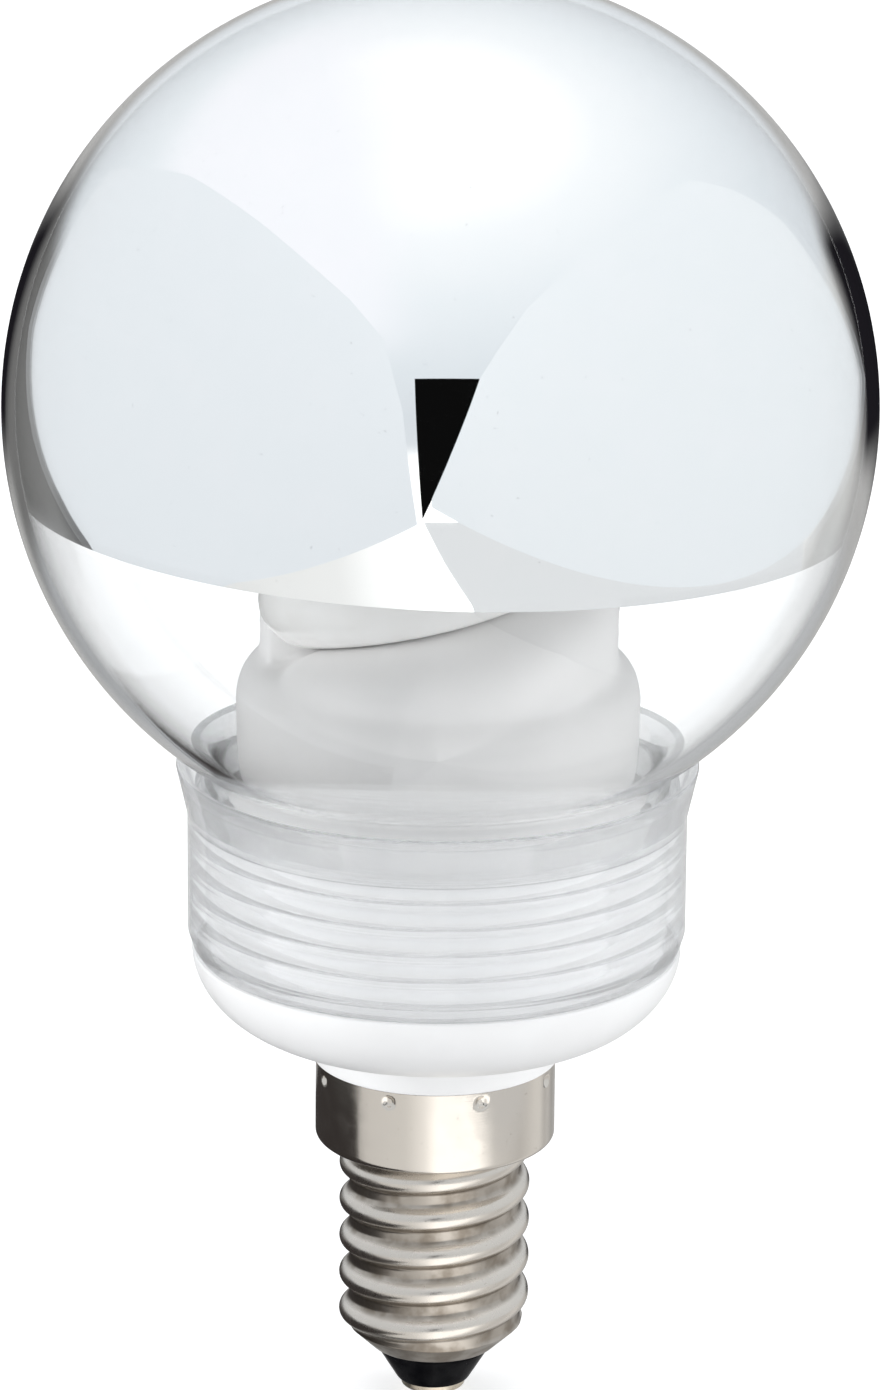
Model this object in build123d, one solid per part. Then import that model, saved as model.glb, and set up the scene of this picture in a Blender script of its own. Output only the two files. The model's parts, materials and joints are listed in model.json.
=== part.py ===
from build123d import *
import math
import os

# Globe energy saving bulb, crown silvered, with an E14 screw cap.
# Frame: +Z up along the lamp's axis, origin at the tip of the cap's contact, -Y is the front.
# All lengths are in millimetres and all angles in degrees.

# Glass globe
GLOBE_R = 30.4
GLASS_WALL = 0.9
NECK_R = 16.4
NECK_BEND_R = 1.6
NECK_BEND_Z = 47.2425

# Silver film inside the crown
FILM_THICKNESS = 0.1
FILM_GAP = 0.1
FILM_EDGE_DROP = 6.0
FILM_TILT = 2.0

# White cup
CUP_SHOULDER = 1.4
CUP_SHOULDER_Z = 34.5
CUP_RIM_INSET = 0.45
CUP_RIM_TOP_Z = 44.3
CUP_RIM_WALL = 1.55
CUP_WALL = 1.3
BOWL_FLOOR_R = 10.5
BOWL_FLOOR_Z = 28.45
NECK_RING_STEP = 0.19
CUP_NECK_WALL = 1.05
RIB_COUNT = 5
RIB_PITCH = 1.88
RIB_HEIGHT = 0.35
RIB_TOP_Z = 43.55

# Clear collar
COLLAR_STEP = 0.3
COLLAR_CREASE_Z = 44.4
LIP_REACH = 2.1
LIP_TOP_Z = 48.2
LIP_THICKNESS = 0.7
COLLAR_CHAMFER = 0.45
COLLAR_GAP = 0.1
ADHESIVE_HEIGHT = 1.7

# White barrel that carries the tube
COVER_WALL = 0.8
COVER_GAP = 0.1
COVER_SHOULDER_Z = 52.6
COVER_TOP_Z = 55.9
COVER_TOP_INSET = 2.7
RAMP_WALL = 0.6
RAMP_SWEEP = 62.0
TROUGH_SWEEP = 112.0
TUBE_GAP = 0.15

# Spiral discharge tube
TUBE_R = 3.4
SPIRAL_INSET = 5.0
SPIRAL_PITCH = 16.0
SPIRAL_TURNS = 2
SPIRAL_START_Z = 54.9
SPIRAL_START_ANGLE = -110.0
LEG_BEND_R = 4.5
LEG_END_Z = 47.0
COLD_TIP_R = 3.8
SEAL_WIDTH = 4.4
SEAL_THICKNESS = 1.7
SEAL_LENGTH = 2.4

# Screw cap
SKIRT_R = 8.56
SKIRT_TOP_Z = 26.0
SKIRT_BOTTOM_Z = 20.1
SKIRT_EDGE_R = 0.45
SHELL_WALL = 0.25
THREAD_PITCH = 2.822
THREAD_CREST_R = 6.83
THREAD_ARC_R = 0.822
THREAD_CREST_Z = 15.0
THREAD_CREST_ANGLE = 180.0
SHELL_CORE_R = 6.1
SHELL_END_R = 4.6
SHELL_END_Z = 4.1
PUNCH_COUNT = 8
PUNCH_R = 0.6
PUNCH_DEPTH = 0.28
PUNCH_BELOW_TOP = 0.75
INSULATOR_TIP_R = 2.55
INSULATOR_TIP_Z = 1.2
INSULATOR_TOP_Z = 7.6
CONTACT_R = 2.3
CONTACT_THICKNESS = 0.55
SOLDER_R = 1.35
WIRE_HOLE_R = 0.55

# Ballast board
BOARD_Z = 37.5
BOARD_THICKNESS = 1.0
BOARD_GAP = 0.15
BOARD_LEDGE = 1.2
PIN_SIDE = 0.7
PIN_HEIGHT = 3.2
PIN_BELOW = 1.1
PIN_SPACING = 3.4
PIN_INSET = 2.6
PIN_HOLE_GAP = 0.06
LEAD_R = 0.22
LEAD_BEND_R = 0.6
JOINT_R = 1.0
PART_LEAD_R = 0.3
PART_LEAD_BEND_R = 0.45
PART_GAP = 0.15

# Ballast parts
CAN_R = 4.0
CAN_LENGTH = 13.5
CAN_X = 2.4
CAN_GAP = 0.6
CAN_GROOVE = 1.6
CAN_LEAD_Y = 1.75
CORE_LENGTH = 10.4
CORE_WIDTH = 4.6
CORE_HEIGHT = 9.6
CORE_LEG = 2.2
BOBBIN_FLANGE = 0.7
BOBBIN_PINS = 0.5
BOBBIN_SLEEVE = 1.0
BOBBIN_LENGTH = 3.2
BOBBIN_WIDTH = 3.6
BOBBIN_FOOT = 1.2
WINDING_LENGTH = 2.6
WINDING_WIDTH = 3.0
WINDING_EDGE_R = 0.8
TOROID_X = 1.6
TOROID_HEIGHT = 2.6
TOROID_MARGIN = 0.6
WIRE_WRAP = 0.35
FILM_CAPACITOR = (8.0, 3.6, 7.0)
BLOCKING_CAPACITOR = (7.2, 3.4, 6.0)
TRANSISTOR_R = 2.2
TRANSISTOR_HEIGHT = 4.6
TRANSISTOR_STAND = 1.2
TRANSISTOR_LEADS = 1.27
TRANSISTOR_ANGLES = (-62, -18)
DIODE_R = 1.2
DIODE_LENGTH = 4.2
DIODE_SPAN = 6.6
DIODE_ANGLES = (88, -165, -96, 15)
RESISTOR_R = 0.9
RESISTOR_LENGTH = 3.4
RESISTOR_SPAN = 5.4
RESISTOR_ANGLES = (-125, -25, 10, 45)
DIAC_R = 0.8
DIAC_LENGTH = 3.0
DIAC_SPAN = 5.0
FUSE_R = 1.3
FUSE_LENGTH = 5.2
FUSE_GAP = 0.9
WIRE_R = 0.6
WIRE_BEND_R = 3.0
LIVE_X = -3.6
LIVE_Y = 3.0
LIVE_KNEE_Z = 21.0
LIVE_STRAIGHT = 5.0

# Values that follow from the sizes above
GLOBE_CENTRE_Z = NECK_BEND_Z + math.sqrt((GLOBE_R + NECK_BEND_R) ** 2 - (NECK_R + NECK_BEND_R) ** 2)
FILM_EDGE_Z = GLOBE_CENTRE_Z - FILM_EDGE_DROP
CUP_RIM_R = NECK_R - CUP_RIM_INSET
CUP_BORE_R = CUP_RIM_R - CUP_RIM_WALL
CUP_R = CUP_RIM_R + CUP_SHOULDER
NECK_RING_R = SKIRT_R + NECK_RING_STEP
COLLAR_R = CUP_R + COLLAR_STEP
LIP_R = NECK_R + LIP_REACH
SKIRT_BORE_R = SKIRT_R - SHELL_WALL
CUP_NECK_R = SKIRT_BORE_R - 0.06
CUP_NECK_BORE_R = CUP_NECK_R - CUP_NECK_WALL
CUP_NECK_END_Z = SKIRT_BOTTOM_Z + 0.9
THREAD_ROOT_R = THREAD_CREST_R - 2 * THREAD_ARC_R + 2 * math.sqrt(
    THREAD_ARC_R**2 - (THREAD_PITCH / 4) ** 2)
SHELL_BORE_R = SHELL_CORE_R - SHELL_WALL
COLLAR_BORE_R = CUP_RIM_R + COLLAR_GAP
COVER_R = CUP_BORE_R - COVER_GAP
COVER_BORE_R = COVER_R - COVER_WALL
COVER_TOP_R = COVER_R - COVER_TOP_INSET
SPIRAL_R = COVER_R - SPIRAL_INSET
BOARD_TOP_Z = BOARD_Z + BOARD_THICKNESS
BOARD_R = CUP_BORE_R - BOARD_GAP
COVER_FOOT_Z = BOARD_TOP_Z + 0.1
CUP_LOWER_BORE_R = CUP_BORE_R - BOARD_LEDGE
TOROID_R = (CUP_LOWER_BORE_R - CAN_R) / 2 - TOROID_MARGIN
TOROID_HOLE_R = TOROID_R * 0.475
TOROID_Y = -(CUP_LOWER_BORE_R + CAN_R - TOROID_MARGIN) / 2
NECK_END_Z = CUP_RIM_TOP_Z + 0.3
CONTACT_Z = INSULATOR_TIP_Z - CONTACT_THICKNESS
SPIRAL_SLOPE = math.degrees(math.atan(SPIRAL_PITCH / (2 * math.pi * SPIRAL_R)))
SPIRAL_END_Z = SPIRAL_START_Z + SPIRAL_PITCH * SPIRAL_TURNS
HALF_TURN_R = SPIRAL_R / 2
HALF_TURN_PITCH = 2 * math.pi * HALF_TURN_R * math.tan(math.radians(SPIRAL_SLOPE))
SPIRAL_TIP_Z = SPIRAL_END_Z + HALF_TURN_PITCH / 2
LEG_Y = -LEG_BEND_R * (1 - math.sin(math.radians(SPIRAL_SLOPE)))
LEG_TOP_Z = SPIRAL_START_Z - LEG_BEND_R * math.cos(math.radians(SPIRAL_SLOPE))
SEAL_END_Z = LEG_END_Z - SEAL_LENGTH
NEUTRAL_X = -(CUP_NECK_BORE_R - WIRE_R - 0.3)
SIDE_BEAD_R = WIRE_R + 0.2
NEUTRAL_END_Z = CUP_NECK_END_Z - SIDE_BEAD_R
SHELL_STEP_Z = SKIRT_BOTTOM_Z - 0.75
SHELL_CONE_Z = SHELL_END_Z + (SHELL_CORE_R - SHELL_END_R) * 0.95


def turned(corners, rounds=()):
    """Revolves an outline of (radius, height) corners, with the named corners rounded."""
    face = make_face(Polyline(*corners, close=True))
    for corner, radius in rounds:
        face = fillet(face.vertices().sort_by_distance((corner[0], corner[1], 0))[0], radius)
    return revolve(Plane.XZ * face, Axis.Z)


def tube_along(path, radius):
    """Sweeps a round bar of a given radius along a path."""
    return sweep(Plane(origin=path @ 0, z_dir=path % 0) * Circle(radius), path, is_frenet=True)


def bar(start, end, radius):
    """A straight round bar from one point to another."""
    return tube_along(Line(start, end), radius)


def globe_form(inset, end_z):
    """Solid bulb form, a given way inside the glass's outer face: a sphere that bends into a neck."""
    sphere_r, neck_r, bend_r = GLOBE_R - inset, NECK_R - inset, NECK_BEND_R + inset
    lean = math.atan2(GLOBE_CENTRE_Z - NECK_BEND_Z, neck_r + bend_r)

    def on_bend(angle):
        return (neck_r + bend_r * (1 - math.cos(angle)), NECK_BEND_Z + bend_r * math.sin(angle))

    top = (0, GLOBE_CENTRE_Z + sphere_r)
    meridian = make_face([
        ThreePointArc(top, (sphere_r, GLOBE_CENTRE_Z), on_bend(lean)),
        ThreePointArc(on_bend(lean), on_bend(lean / 2), on_bend(0)),
        Polyline(on_bend(0), (neck_r, end_z), (0, end_z), top),
    ])
    return revolve(Plane.XZ * meridian, Axis.Z)


def glass_globe():
    """Clear blown globe, open at its neck."""
    return globe_form(0, NECK_END_Z) - globe_form(GLASS_WALL, NECK_END_Z - GLASS_WALL)


def mirror_coating():
    """Silver film on the inside of the crown, down to a slightly tilted edge."""
    film_r = GLOBE_R - GLASS_WALL - FILM_GAP
    film = Sphere(film_r) - Sphere(film_r - FILM_THICKNESS)
    below = Pos(0, 0, FILM_EDGE_Z - GLOBE_CENTRE_Z) * Rot(0, FILM_TILT, 0) * Pos(0, 0, -GLOBE_R) * Box(
        4 * GLOBE_R, 4 * GLOBE_R, 2 * GLOBE_R)
    return Pos(0, 0, GLOBE_CENTRE_Z) * (film - below)


def rib_ring(base_r, height, width, z):
    """One rounded annular rib that stands out from a cylinder."""
    section = make_face([
        ThreePointArc((base_r, z - width / 2), (base_r + height, z), (base_r, z + width / 2)),
        Polyline((base_r, z + width / 2), (base_r - 0.3, z + width / 2),
                 (base_r - 0.3, z - width / 2), (base_r, z - width / 2)),
    ])
    return revolve(Plane.XZ * section, Axis.Z)


def rib_heights():
    """Heights of the snap ribs, from the top down."""
    return [RIB_TOP_Z - RIB_PITCH * index for index in range(RIB_COUNT)]


def clear_collar():
    """Clear ring with a flared lip, which snaps over the ribs of the cup's rim."""
    flare_foot_z = CUP_RIM_TOP_Z + 0.1
    body = turned([
        (COLLAR_BORE_R, CUP_SHOULDER_Z),
        (COLLAR_R - COLLAR_CHAMFER, CUP_SHOULDER_Z),
        (COLLAR_R, CUP_SHOULDER_Z + 3 * COLLAR_CHAMFER),
        (COLLAR_R, COLLAR_CREASE_Z),
        (LIP_R, LIP_TOP_Z),
        (LIP_R - LIP_THICKNESS, LIP_TOP_Z - 0.25),
        (NECK_R + 0.25, flare_foot_z + 0.5),
        (NECK_R + 0.25, flare_foot_z),
        (COLLAR_BORE_R, flare_foot_z),
    ], [((LIP_R, LIP_TOP_Z), 0.2), ((COLLAR_R, COLLAR_CREASE_Z), 0.4)])
    for z in rib_heights():
        body -= rib_ring(COLLAR_BORE_R, RIB_HEIGHT, RIB_PITCH * 0.8, z)
    return body


def globe_adhesive():
    """Clear silicone between the globe's neck and the collar's flare."""
    foot_z = CUP_RIM_TOP_Z + 0.15
    flare_slope = (LIP_R - LIP_THICKNESS - NECK_R - 0.25) / (LIP_TOP_Z - 0.25 - foot_z - 0.45)
    top_z = foot_z + 0.45 + ADHESIVE_HEIGHT
    return turned([
        (NECK_R + 0.02, foot_z),
        (NECK_R + 0.2, foot_z),
        (NECK_R + 0.2, foot_z + 0.45),
        (NECK_R + 0.2 + flare_slope * ADHESIVE_HEIGHT, top_z),
        (NECK_R + 0.02, top_z + 0.25),
    ])


def lower_cup():
    """White moulded cup: ribbed rim, bowl and the neck that the screw cap is punched onto."""
    bowl = [
        Line((0, CUP_NECK_END_Z), (CUP_NECK_R, CUP_NECK_END_Z)),
        Line((CUP_NECK_R, CUP_NECK_END_Z), (CUP_NECK_R, SKIRT_TOP_Z + 0.04)),
        Line((CUP_NECK_R, SKIRT_TOP_Z + 0.04), (NECK_RING_R, SKIRT_TOP_Z + 0.04)),
        Line((NECK_RING_R, SKIRT_TOP_Z + 0.04), (NECK_RING_R, BOWL_FLOOR_Z - 0.9)),
        ThreePointArc((NECK_RING_R, BOWL_FLOOR_Z - 0.9), (NECK_RING_R + 0.45, BOWL_FLOOR_Z - 0.2),
                      (BOWL_FLOOR_R, BOWL_FLOOR_Z)),
        Bezier((BOWL_FLOOR_R, BOWL_FLOOR_Z), (BOWL_FLOOR_R + 5.2, BOWL_FLOOR_Z + 0.6),
               (CUP_R, CUP_SHOULDER_Z - 1.9), (CUP_R, CUP_SHOULDER_Z)),
        Line((CUP_R, CUP_SHOULDER_Z), (CUP_RIM_R, CUP_SHOULDER_Z)),
        Line((CUP_RIM_R, CUP_SHOULDER_Z), (CUP_RIM_R, CUP_RIM_TOP_Z)),
        Line((CUP_RIM_R, CUP_RIM_TOP_Z), (0, CUP_RIM_TOP_Z)),
        Line((0, CUP_RIM_TOP_Z), (0, CUP_NECK_END_Z)),
    ]
    outside = revolve(Plane.XZ * make_face(bowl), Axis.Z)
    inside = turned([
        (0, CUP_NECK_END_Z - 1),
        (CUP_NECK_BORE_R, CUP_NECK_END_Z - 1),
        (CUP_NECK_BORE_R, BOWL_FLOOR_Z + CUP_WALL),
        (BOWL_FLOOR_R, BOWL_FLOOR_Z + CUP_WALL),
        (CUP_LOWER_BORE_R, BOWL_FLOOR_Z + CUP_WALL + 1.2),
        (CUP_LOWER_BORE_R, BOARD_Z),
        (CUP_BORE_R, BOARD_Z),
        (CUP_BORE_R, CUP_RIM_TOP_Z + 1),
        (0, CUP_RIM_TOP_Z + 1),
    ])
    cup = outside - inside
    for z in rib_heights():
        cup += rib_ring(CUP_RIM_R, RIB_HEIGHT - 0.05, RIB_PITCH * 0.7, z)
    for place in punch_places(SKIRT_R + PUNCH_R - PUNCH_DEPTH):
        cup -= place * Sphere(PUNCH_R + SHELL_WALL + 0.08)
    return cup


def limb_path():
    """Centre lines of one limb of the spiral tube: its bend, its turns and its top half turn."""
    slope = math.radians(SPIRAL_SLOPE)
    centre = (LEG_BEND_R * math.sin(slope), SPIRAL_START_Z - LEG_BEND_R * math.cos(slope))
    middle = slope + (math.pi / 2 - slope) / 2
    bend = ThreePointArc(
        (SPIRAL_R, LEG_Y, LEG_TOP_Z),
        (SPIRAL_R, centre[0] - LEG_BEND_R * math.sin(middle), centre[1] + LEG_BEND_R * math.cos(middle)),
        (SPIRAL_R, 0, SPIRAL_START_Z))
    turns = Helix(SPIRAL_PITCH, SPIRAL_PITCH * SPIRAL_TURNS, SPIRAL_R, (0, 0, SPIRAL_START_Z))
    top = Helix(HALF_TURN_PITCH, HALF_TURN_PITCH / 2, HALF_TURN_R, (HALF_TURN_R, 0, SPIRAL_END_Z))
    return bend, turns, top


def limb(radius, leg_end_z):
    """One limb of the tube as a solid bar, in its own frame."""
    bend, turns, top = limb_path()
    leg = bar((SPIRAL_R, LEG_Y, leg_end_z), (SPIRAL_R, LEG_Y, LEG_TOP_Z), radius)
    return leg + tube_along(bend, radius) + tube_along(turns, radius) + tube_along(top, radius)


def limb_start(radius, sweep_angle, leg_end_z):
    """The leg, the bend and the first part of a limb's turns, in the limb's own frame."""
    bend = limb_path()[0]
    turns = Helix(SPIRAL_PITCH, SPIRAL_PITCH * sweep_angle / 360, SPIRAL_R, (0, 0, SPIRAL_START_Z))
    leg = bar((SPIRAL_R, LEG_Y, leg_end_z), (SPIRAL_R, LEG_Y, LEG_TOP_Z), radius)
    return leg + tube_along(bend, radius) + tube_along(turns, radius)


def limb_places():
    """The turns about Z that place the two limbs of the tube."""
    return [Rot(0, 0, SPIRAL_START_ANGLE), Rot(0, 0, SPIRAL_START_ANGLE + 180)]


def spiral_tube():
    """Double spiral tube with a swollen cold tip and two pinched ends."""
    one = limb(TUBE_R, LEG_END_Z)
    seal = Pos(SPIRAL_R, LEG_Y, LEG_END_Z - SEAL_LENGTH / 2 + 0.4) * Box(
        SEAL_THICKNESS, SEAL_WIDTH, SEAL_LENGTH + 0.8)
    one += seal
    tube = Pos(0, 0, SPIRAL_TIP_Z) * Sphere(COLD_TIP_R)
    for place in limb_places():
        tube += place * one
    return tube


def tube_cover():
    """White barrel with two ramps that lead the tube out of it."""
    barrel = make_face([
        Line((0, COVER_FOOT_Z), (COVER_R, COVER_FOOT_Z)),
        Line((COVER_R, COVER_FOOT_Z), (COVER_R, COVER_SHOULDER_Z)),
        Bezier((COVER_R, COVER_SHOULDER_Z), (COVER_R, COVER_TOP_Z - 1.0),
               (COVER_TOP_R + 1.2, COVER_TOP_Z), (COVER_TOP_R, COVER_TOP_Z)),
        Line((COVER_TOP_R, COVER_TOP_Z), (0, COVER_TOP_Z)),
        Line((0, COVER_TOP_Z), (0, COVER_FOOT_Z)),
    ])
    body = revolve(Plane.XZ * barrel, Axis.Z)
    for place in limb_places():
        body += place * limb_start(TUBE_R + TUBE_GAP + RAMP_WALL, RAMP_SWEEP, LEG_END_Z + 2)
    body -= Pos(0, 0, COVER_FOOT_Z - 1) * Cylinder(
        COVER_BORE_R, COVER_SHOULDER_Z - COVER_FOOT_Z + 1, align=(Align.CENTER, Align.CENTER, Align.MIN))
    for place in limb_places():
        body -= place * limb_start(TUBE_R + TUBE_GAP, TROUGH_SWEEP, COVER_FOOT_Z)
    return body.solids().sort_by(SortBy.VOLUME)[-1]


def seal_places():
    """Places of the tube's two pinched ends, at the height where they end."""
    return [place * Pos(SPIRAL_R, LEG_Y, SEAL_END_Z) for place in limb_places()]


def pin_places():
    """Places of the four wrap pins, on the board's upper face below the pinched ends."""
    return [place * Pos(-PIN_INSET, side * PIN_SPACING / 2, BOARD_TOP_Z - SEAL_END_Z)
            for place in seal_places() for side in (-1, 1)]


def wrap_pins():
    """Four square pins pressed through the board."""
    pin = Pos(0, 0, (PIN_HEIGHT - BOARD_THICKNESS - PIN_BELOW) / 2) * Box(
        PIN_SIDE, PIN_SIDE, PIN_HEIGHT + BOARD_THICKNESS + PIN_BELOW)
    return Compound([place * pin for place in pin_places()])


def tube_leads():
    """Four filament wires from the tube's pinched ends to the wrap pins."""
    wires = []
    for place in seal_places():
        for side in (-1, 1):
            top = (0, side * PIN_SPACING / 2.6, 0)
            knee = (-0.9, side * PIN_SPACING / 2.2, BOARD_TOP_Z + PIN_HEIGHT * 0.75 - SEAL_END_Z)
            end = (-PIN_INSET + PIN_SIDE / 2 + 0.12, side * PIN_SPACING / 2,
                   BOARD_TOP_Z + PIN_HEIGHT * 0.35 - SEAL_END_Z)
            path = FilletPolyline(top, knee, end, radius=LEAD_BEND_R)
            wires.append(place * tube_along(path, LEAD_R))
    return Compound(wires)


def circuit_board():
    """Round ballast board with the holes of its wrap pins."""
    board = Pos(0, 0, BOARD_Z) * Cylinder(
        BOARD_R, BOARD_THICKNESS, align=(Align.CENTER, Align.CENTER, Align.MIN))
    hole = Box(PIN_SIDE + 2 * PIN_HOLE_GAP, PIN_SIDE + 2 * PIN_HOLE_GAP, 4 * BOARD_THICKNESS)
    for place in pin_places():
        board -= place * hole
    return board


def solder_joints():
    """Solder cones round the lower ends of the pins, under the board."""
    height = PIN_BELOW * 0.8
    cone = Pos(0, 0, -BOARD_THICKNESS - height / 2) * Cone(JOINT_R * 0.55, JOINT_R, height)
    cone -= Box(PIN_SIDE + 0.02, PIN_SIDE + 0.02, 4 * (BOARD_THICKNESS + height))
    return Compound([place * cone for place in pin_places()])


def electrolytic_capacitor():
    """Can that hangs under the board into the cup's neck, with its two legs."""
    top_z = BOARD_Z - CAN_GAP
    can = Pos(CAN_X, 0, top_z - CAN_LENGTH / 2) * Cylinder(CAN_R, CAN_LENGTH)
    groove_z = top_z - CAN_GROOVE
    can -= Pos(CAN_X, 0, groove_z) * (Torus(CAN_R + 0.15, 0.45))
    for side in (-1, 1):
        can += bar((CAN_X, side * CAN_LEAD_Y, top_z - 0.2), (CAN_X, side * CAN_LEAD_Y, BOARD_Z), PART_LEAD_R)
    return can


def choke_core():
    """Two E-shaped ferrite halves glued into one core, standing on the bobbin's foot."""
    foot_z = BOARD_TOP_Z + BOBBIN_PINS
    core = Pos(0, 0, foot_z + CORE_HEIGHT / 2) * Box(CORE_LENGTH, CORE_WIDTH, CORE_HEIGHT)
    window_w = (CORE_LENGTH - 2 * CORE_LEG - CORE_LEG) / 2
    window_x = CORE_LEG / 2 + window_w / 2
    for side in (-1, 1):
        core -= Pos(side * window_x, 0, foot_z + CORE_HEIGHT / 2) * Box(
            window_w, 2 * CORE_WIDTH, CORE_HEIGHT - 2 * CORE_LEG)
    return core


def choke_bobbin():
    """Bobbin on the core's middle leg: sleeve, two flanges and the foot that stands on the board."""
    middle_z = BOARD_TOP_Z + BOBBIN_PINS + CORE_HEIGHT / 2
    length = CORE_HEIGHT - 2 * CORE_LEG - 0.1
    sleeve = Box(CORE_LEG + BOBBIN_SLEEVE, CORE_WIDTH + BOBBIN_SLEEVE, length)
    flange = Box(CORE_LEG + BOBBIN_LENGTH, CORE_WIDTH + BOBBIN_WIDTH, BOBBIN_FLANGE)
    offset = (length - BOBBIN_FLANGE) / 2
    bobbin = sleeve + Pos(0, 0, offset) * flange + Pos(0, 0, -offset) * flange
    bobbin -= Box(CORE_LEG + 0.1, CORE_WIDTH + 0.1, 2 * length)
    bobbin = Pos(0, 0, middle_z) * bobbin
    flange_z = middle_z - offset
    plate_y = CORE_WIDTH / 2 + 0.05 + BOBBIN_FLANGE / 2
    for side in (-1, 1):
        bobbin += Pos(0, side * plate_y, (BOARD_TOP_Z + flange_z) / 2) * Box(
            CORE_LEG + BOBBIN_LENGTH, BOBBIN_FLANGE, flange_z - BOARD_TOP_Z)
    return bobbin + Pos(0, 0, BOARD_TOP_Z + BOBBIN_PINS / 2) * Box(
        CORE_LEG + BOBBIN_LENGTH, CORE_WIDTH + BOBBIN_FOOT, BOBBIN_PINS)


def choke_winding():
    """Copper winding between the bobbin's flanges."""
    middle_z = BOARD_TOP_Z + BOBBIN_PINS + CORE_HEIGHT / 2
    length = CORE_HEIGHT - 2 * CORE_LEG - 0.1 - 2 * BOBBIN_FLANGE - 0.06
    outside = Box(CORE_LEG + WINDING_LENGTH, CORE_WIDTH + WINDING_WIDTH, length)
    outside = fillet(outside.edges().filter_by(Axis.Z), WINDING_EDGE_R)
    hole = BOBBIN_SLEEVE + 0.04
    return Pos(0, 0, middle_z) * (outside - Box(CORE_LEG + hole, CORE_WIDTH + hole, 2 * length))


def toroid_place():
    """Place of the driver transformer's centre, under the board."""
    return Pos(TOROID_X, TOROID_Y, BOARD_Z - PART_GAP - WIRE_WRAP - TOROID_HEIGHT / 2)


def toroid_core():
    """Ferrite ring of the driver transformer."""
    return toroid_place() * (Cylinder(TOROID_R, TOROID_HEIGHT) - Cylinder(TOROID_HOLE_R, 2 * TOROID_HEIGHT))


def toroid_winding():
    """Three groups of wire turns round the ferrite ring."""
    groups = []
    ring_width = TOROID_R - TOROID_HOLE_R
    middle_r = (TOROID_R + TOROID_HOLE_R) / 2
    turn = Box(ring_width + 2 * WIRE_WRAP, 2 * WIRE_WRAP, TOROID_HEIGHT + 2 * WIRE_WRAP)
    turn -= Box(ring_width + 0.16, 4 * WIRE_WRAP, TOROID_HEIGHT + 0.04)
    for angle in (-100, -80, 20, 40, 140, 160):
        groups.append(toroid_place() * Rot(0, 0, angle) * Pos(middle_r, 0, 0) * turn)
    return Compound(groups)


def transistors():
    """Two switching transistors that stand on the board."""
    body = Cylinder(TRANSISTOR_R, TRANSISTOR_HEIGHT)
    body -= Pos(TRANSISTOR_R * 1.6, 0, 0) * Box(2 * TRANSISTOR_R, 4 * TRANSISTOR_R, 2 * TRANSISTOR_HEIGHT)
    one = Pos(0, 0, BOARD_TOP_Z + TRANSISTOR_STAND + TRANSISTOR_HEIGHT / 2) * body
    for offset in (-TRANSISTOR_LEADS, 0, TRANSISTOR_LEADS):
        one += bar((-0.2, offset, BOARD_TOP_Z), (-0.2, offset, BOARD_TOP_Z + TRANSISTOR_STAND + 0.4), PART_LEAD_R)
    return Compound([board_place(0.695, angle) * Rot(0, 0, 90) * one for angle in TRANSISTOR_ANGLES])


def board_place(share, angle):
    """Place at a share of the board's radius, turned so that a part's length runs round the board."""
    return Rot(0, 0, angle) * Pos(share * BOARD_R, 0, 0) * Rot(0, 0, 90)


def film_block(size, top_side):
    """A film capacitor's rounded block with its two legs, above or below the board."""
    length, width, height = size
    face_z = BOARD_TOP_Z + 0.5 if top_side else BOARD_Z - 0.5 - height
    block = Pos(0, 0, face_z + height / 2) * fillet(Box(length, width, height).edges(), 0.5)
    leg_top = face_z + 0.8 if top_side else BOARD_Z
    leg_foot = BOARD_TOP_Z if top_side else face_z + height - 0.8
    for side in (-1, 1):
        x = side * length * 0.31
        block += bar((x, 0, leg_foot), (x, 0, leg_top), PART_LEAD_R)
    return block


def resonant_capacitor():
    """Film capacitor across the tube, beside the choke."""
    return board_place(0.6035, 135) * film_block(FILM_CAPACITOR, True)


def blocking_capacitor():
    """Film capacitor in the tube's supply, under the board."""
    return board_place(0.621, 131) * film_block(BLOCKING_CAPACITOR, False)


def axial_part(body_r, body_length, span, face_z, upward):
    """A part with a wire at each end, bent down to the board's face."""
    direction = 1 if upward else -1
    axis_z = face_z + direction * (body_r + PART_GAP)
    part = Pos(0, 0, axis_z) * Rot(0, 90, 0) * Cylinder(body_r, body_length)
    for side in (-1, 1):
        knee = (side * span / 2, 0, axis_z)
        part += tube_along(FilletPolyline((side * (body_length / 2 - 0.2), 0, axis_z), knee,
                                          (side * span / 2, 0, face_z), radius=PART_LEAD_BEND_R), PART_LEAD_R)
    return part


def rectifier_diodes():
    """Four rectifier diodes in a row on the board's upper face."""
    one = axial_part(DIODE_R, DIODE_LENGTH, DIODE_SPAN, BOARD_TOP_Z, True)
    return Compound([board_place(0.772, angle) * one for angle in DIODE_ANGLES])


def resistors():
    """Four small resistors under the board."""
    one = axial_part(RESISTOR_R, RESISTOR_LENGTH, RESISTOR_SPAN, BOARD_Z, False)
    return Compound([board_place(0.744, angle) * one for angle in RESISTOR_ANGLES])


def diac():
    """Small glass trigger diode under the board."""
    return board_place(0.73, 82) * axial_part(DIAC_R, DIAC_LENGTH, DIAC_SPAN, BOARD_Z, False)


def fusible_resistor():
    """Fusible resistor that hangs upright under the board."""
    top_z = BOARD_Z - FUSE_GAP
    body = Pos(0, 0, top_z - FUSE_LENGTH / 2) * Cylinder(FUSE_R, FUSE_LENGTH)
    return board_place(0.679, 187) * (body + bar((0, 0, top_z - 0.2), (0, 0, BOARD_Z), PART_LEAD_R))


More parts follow.
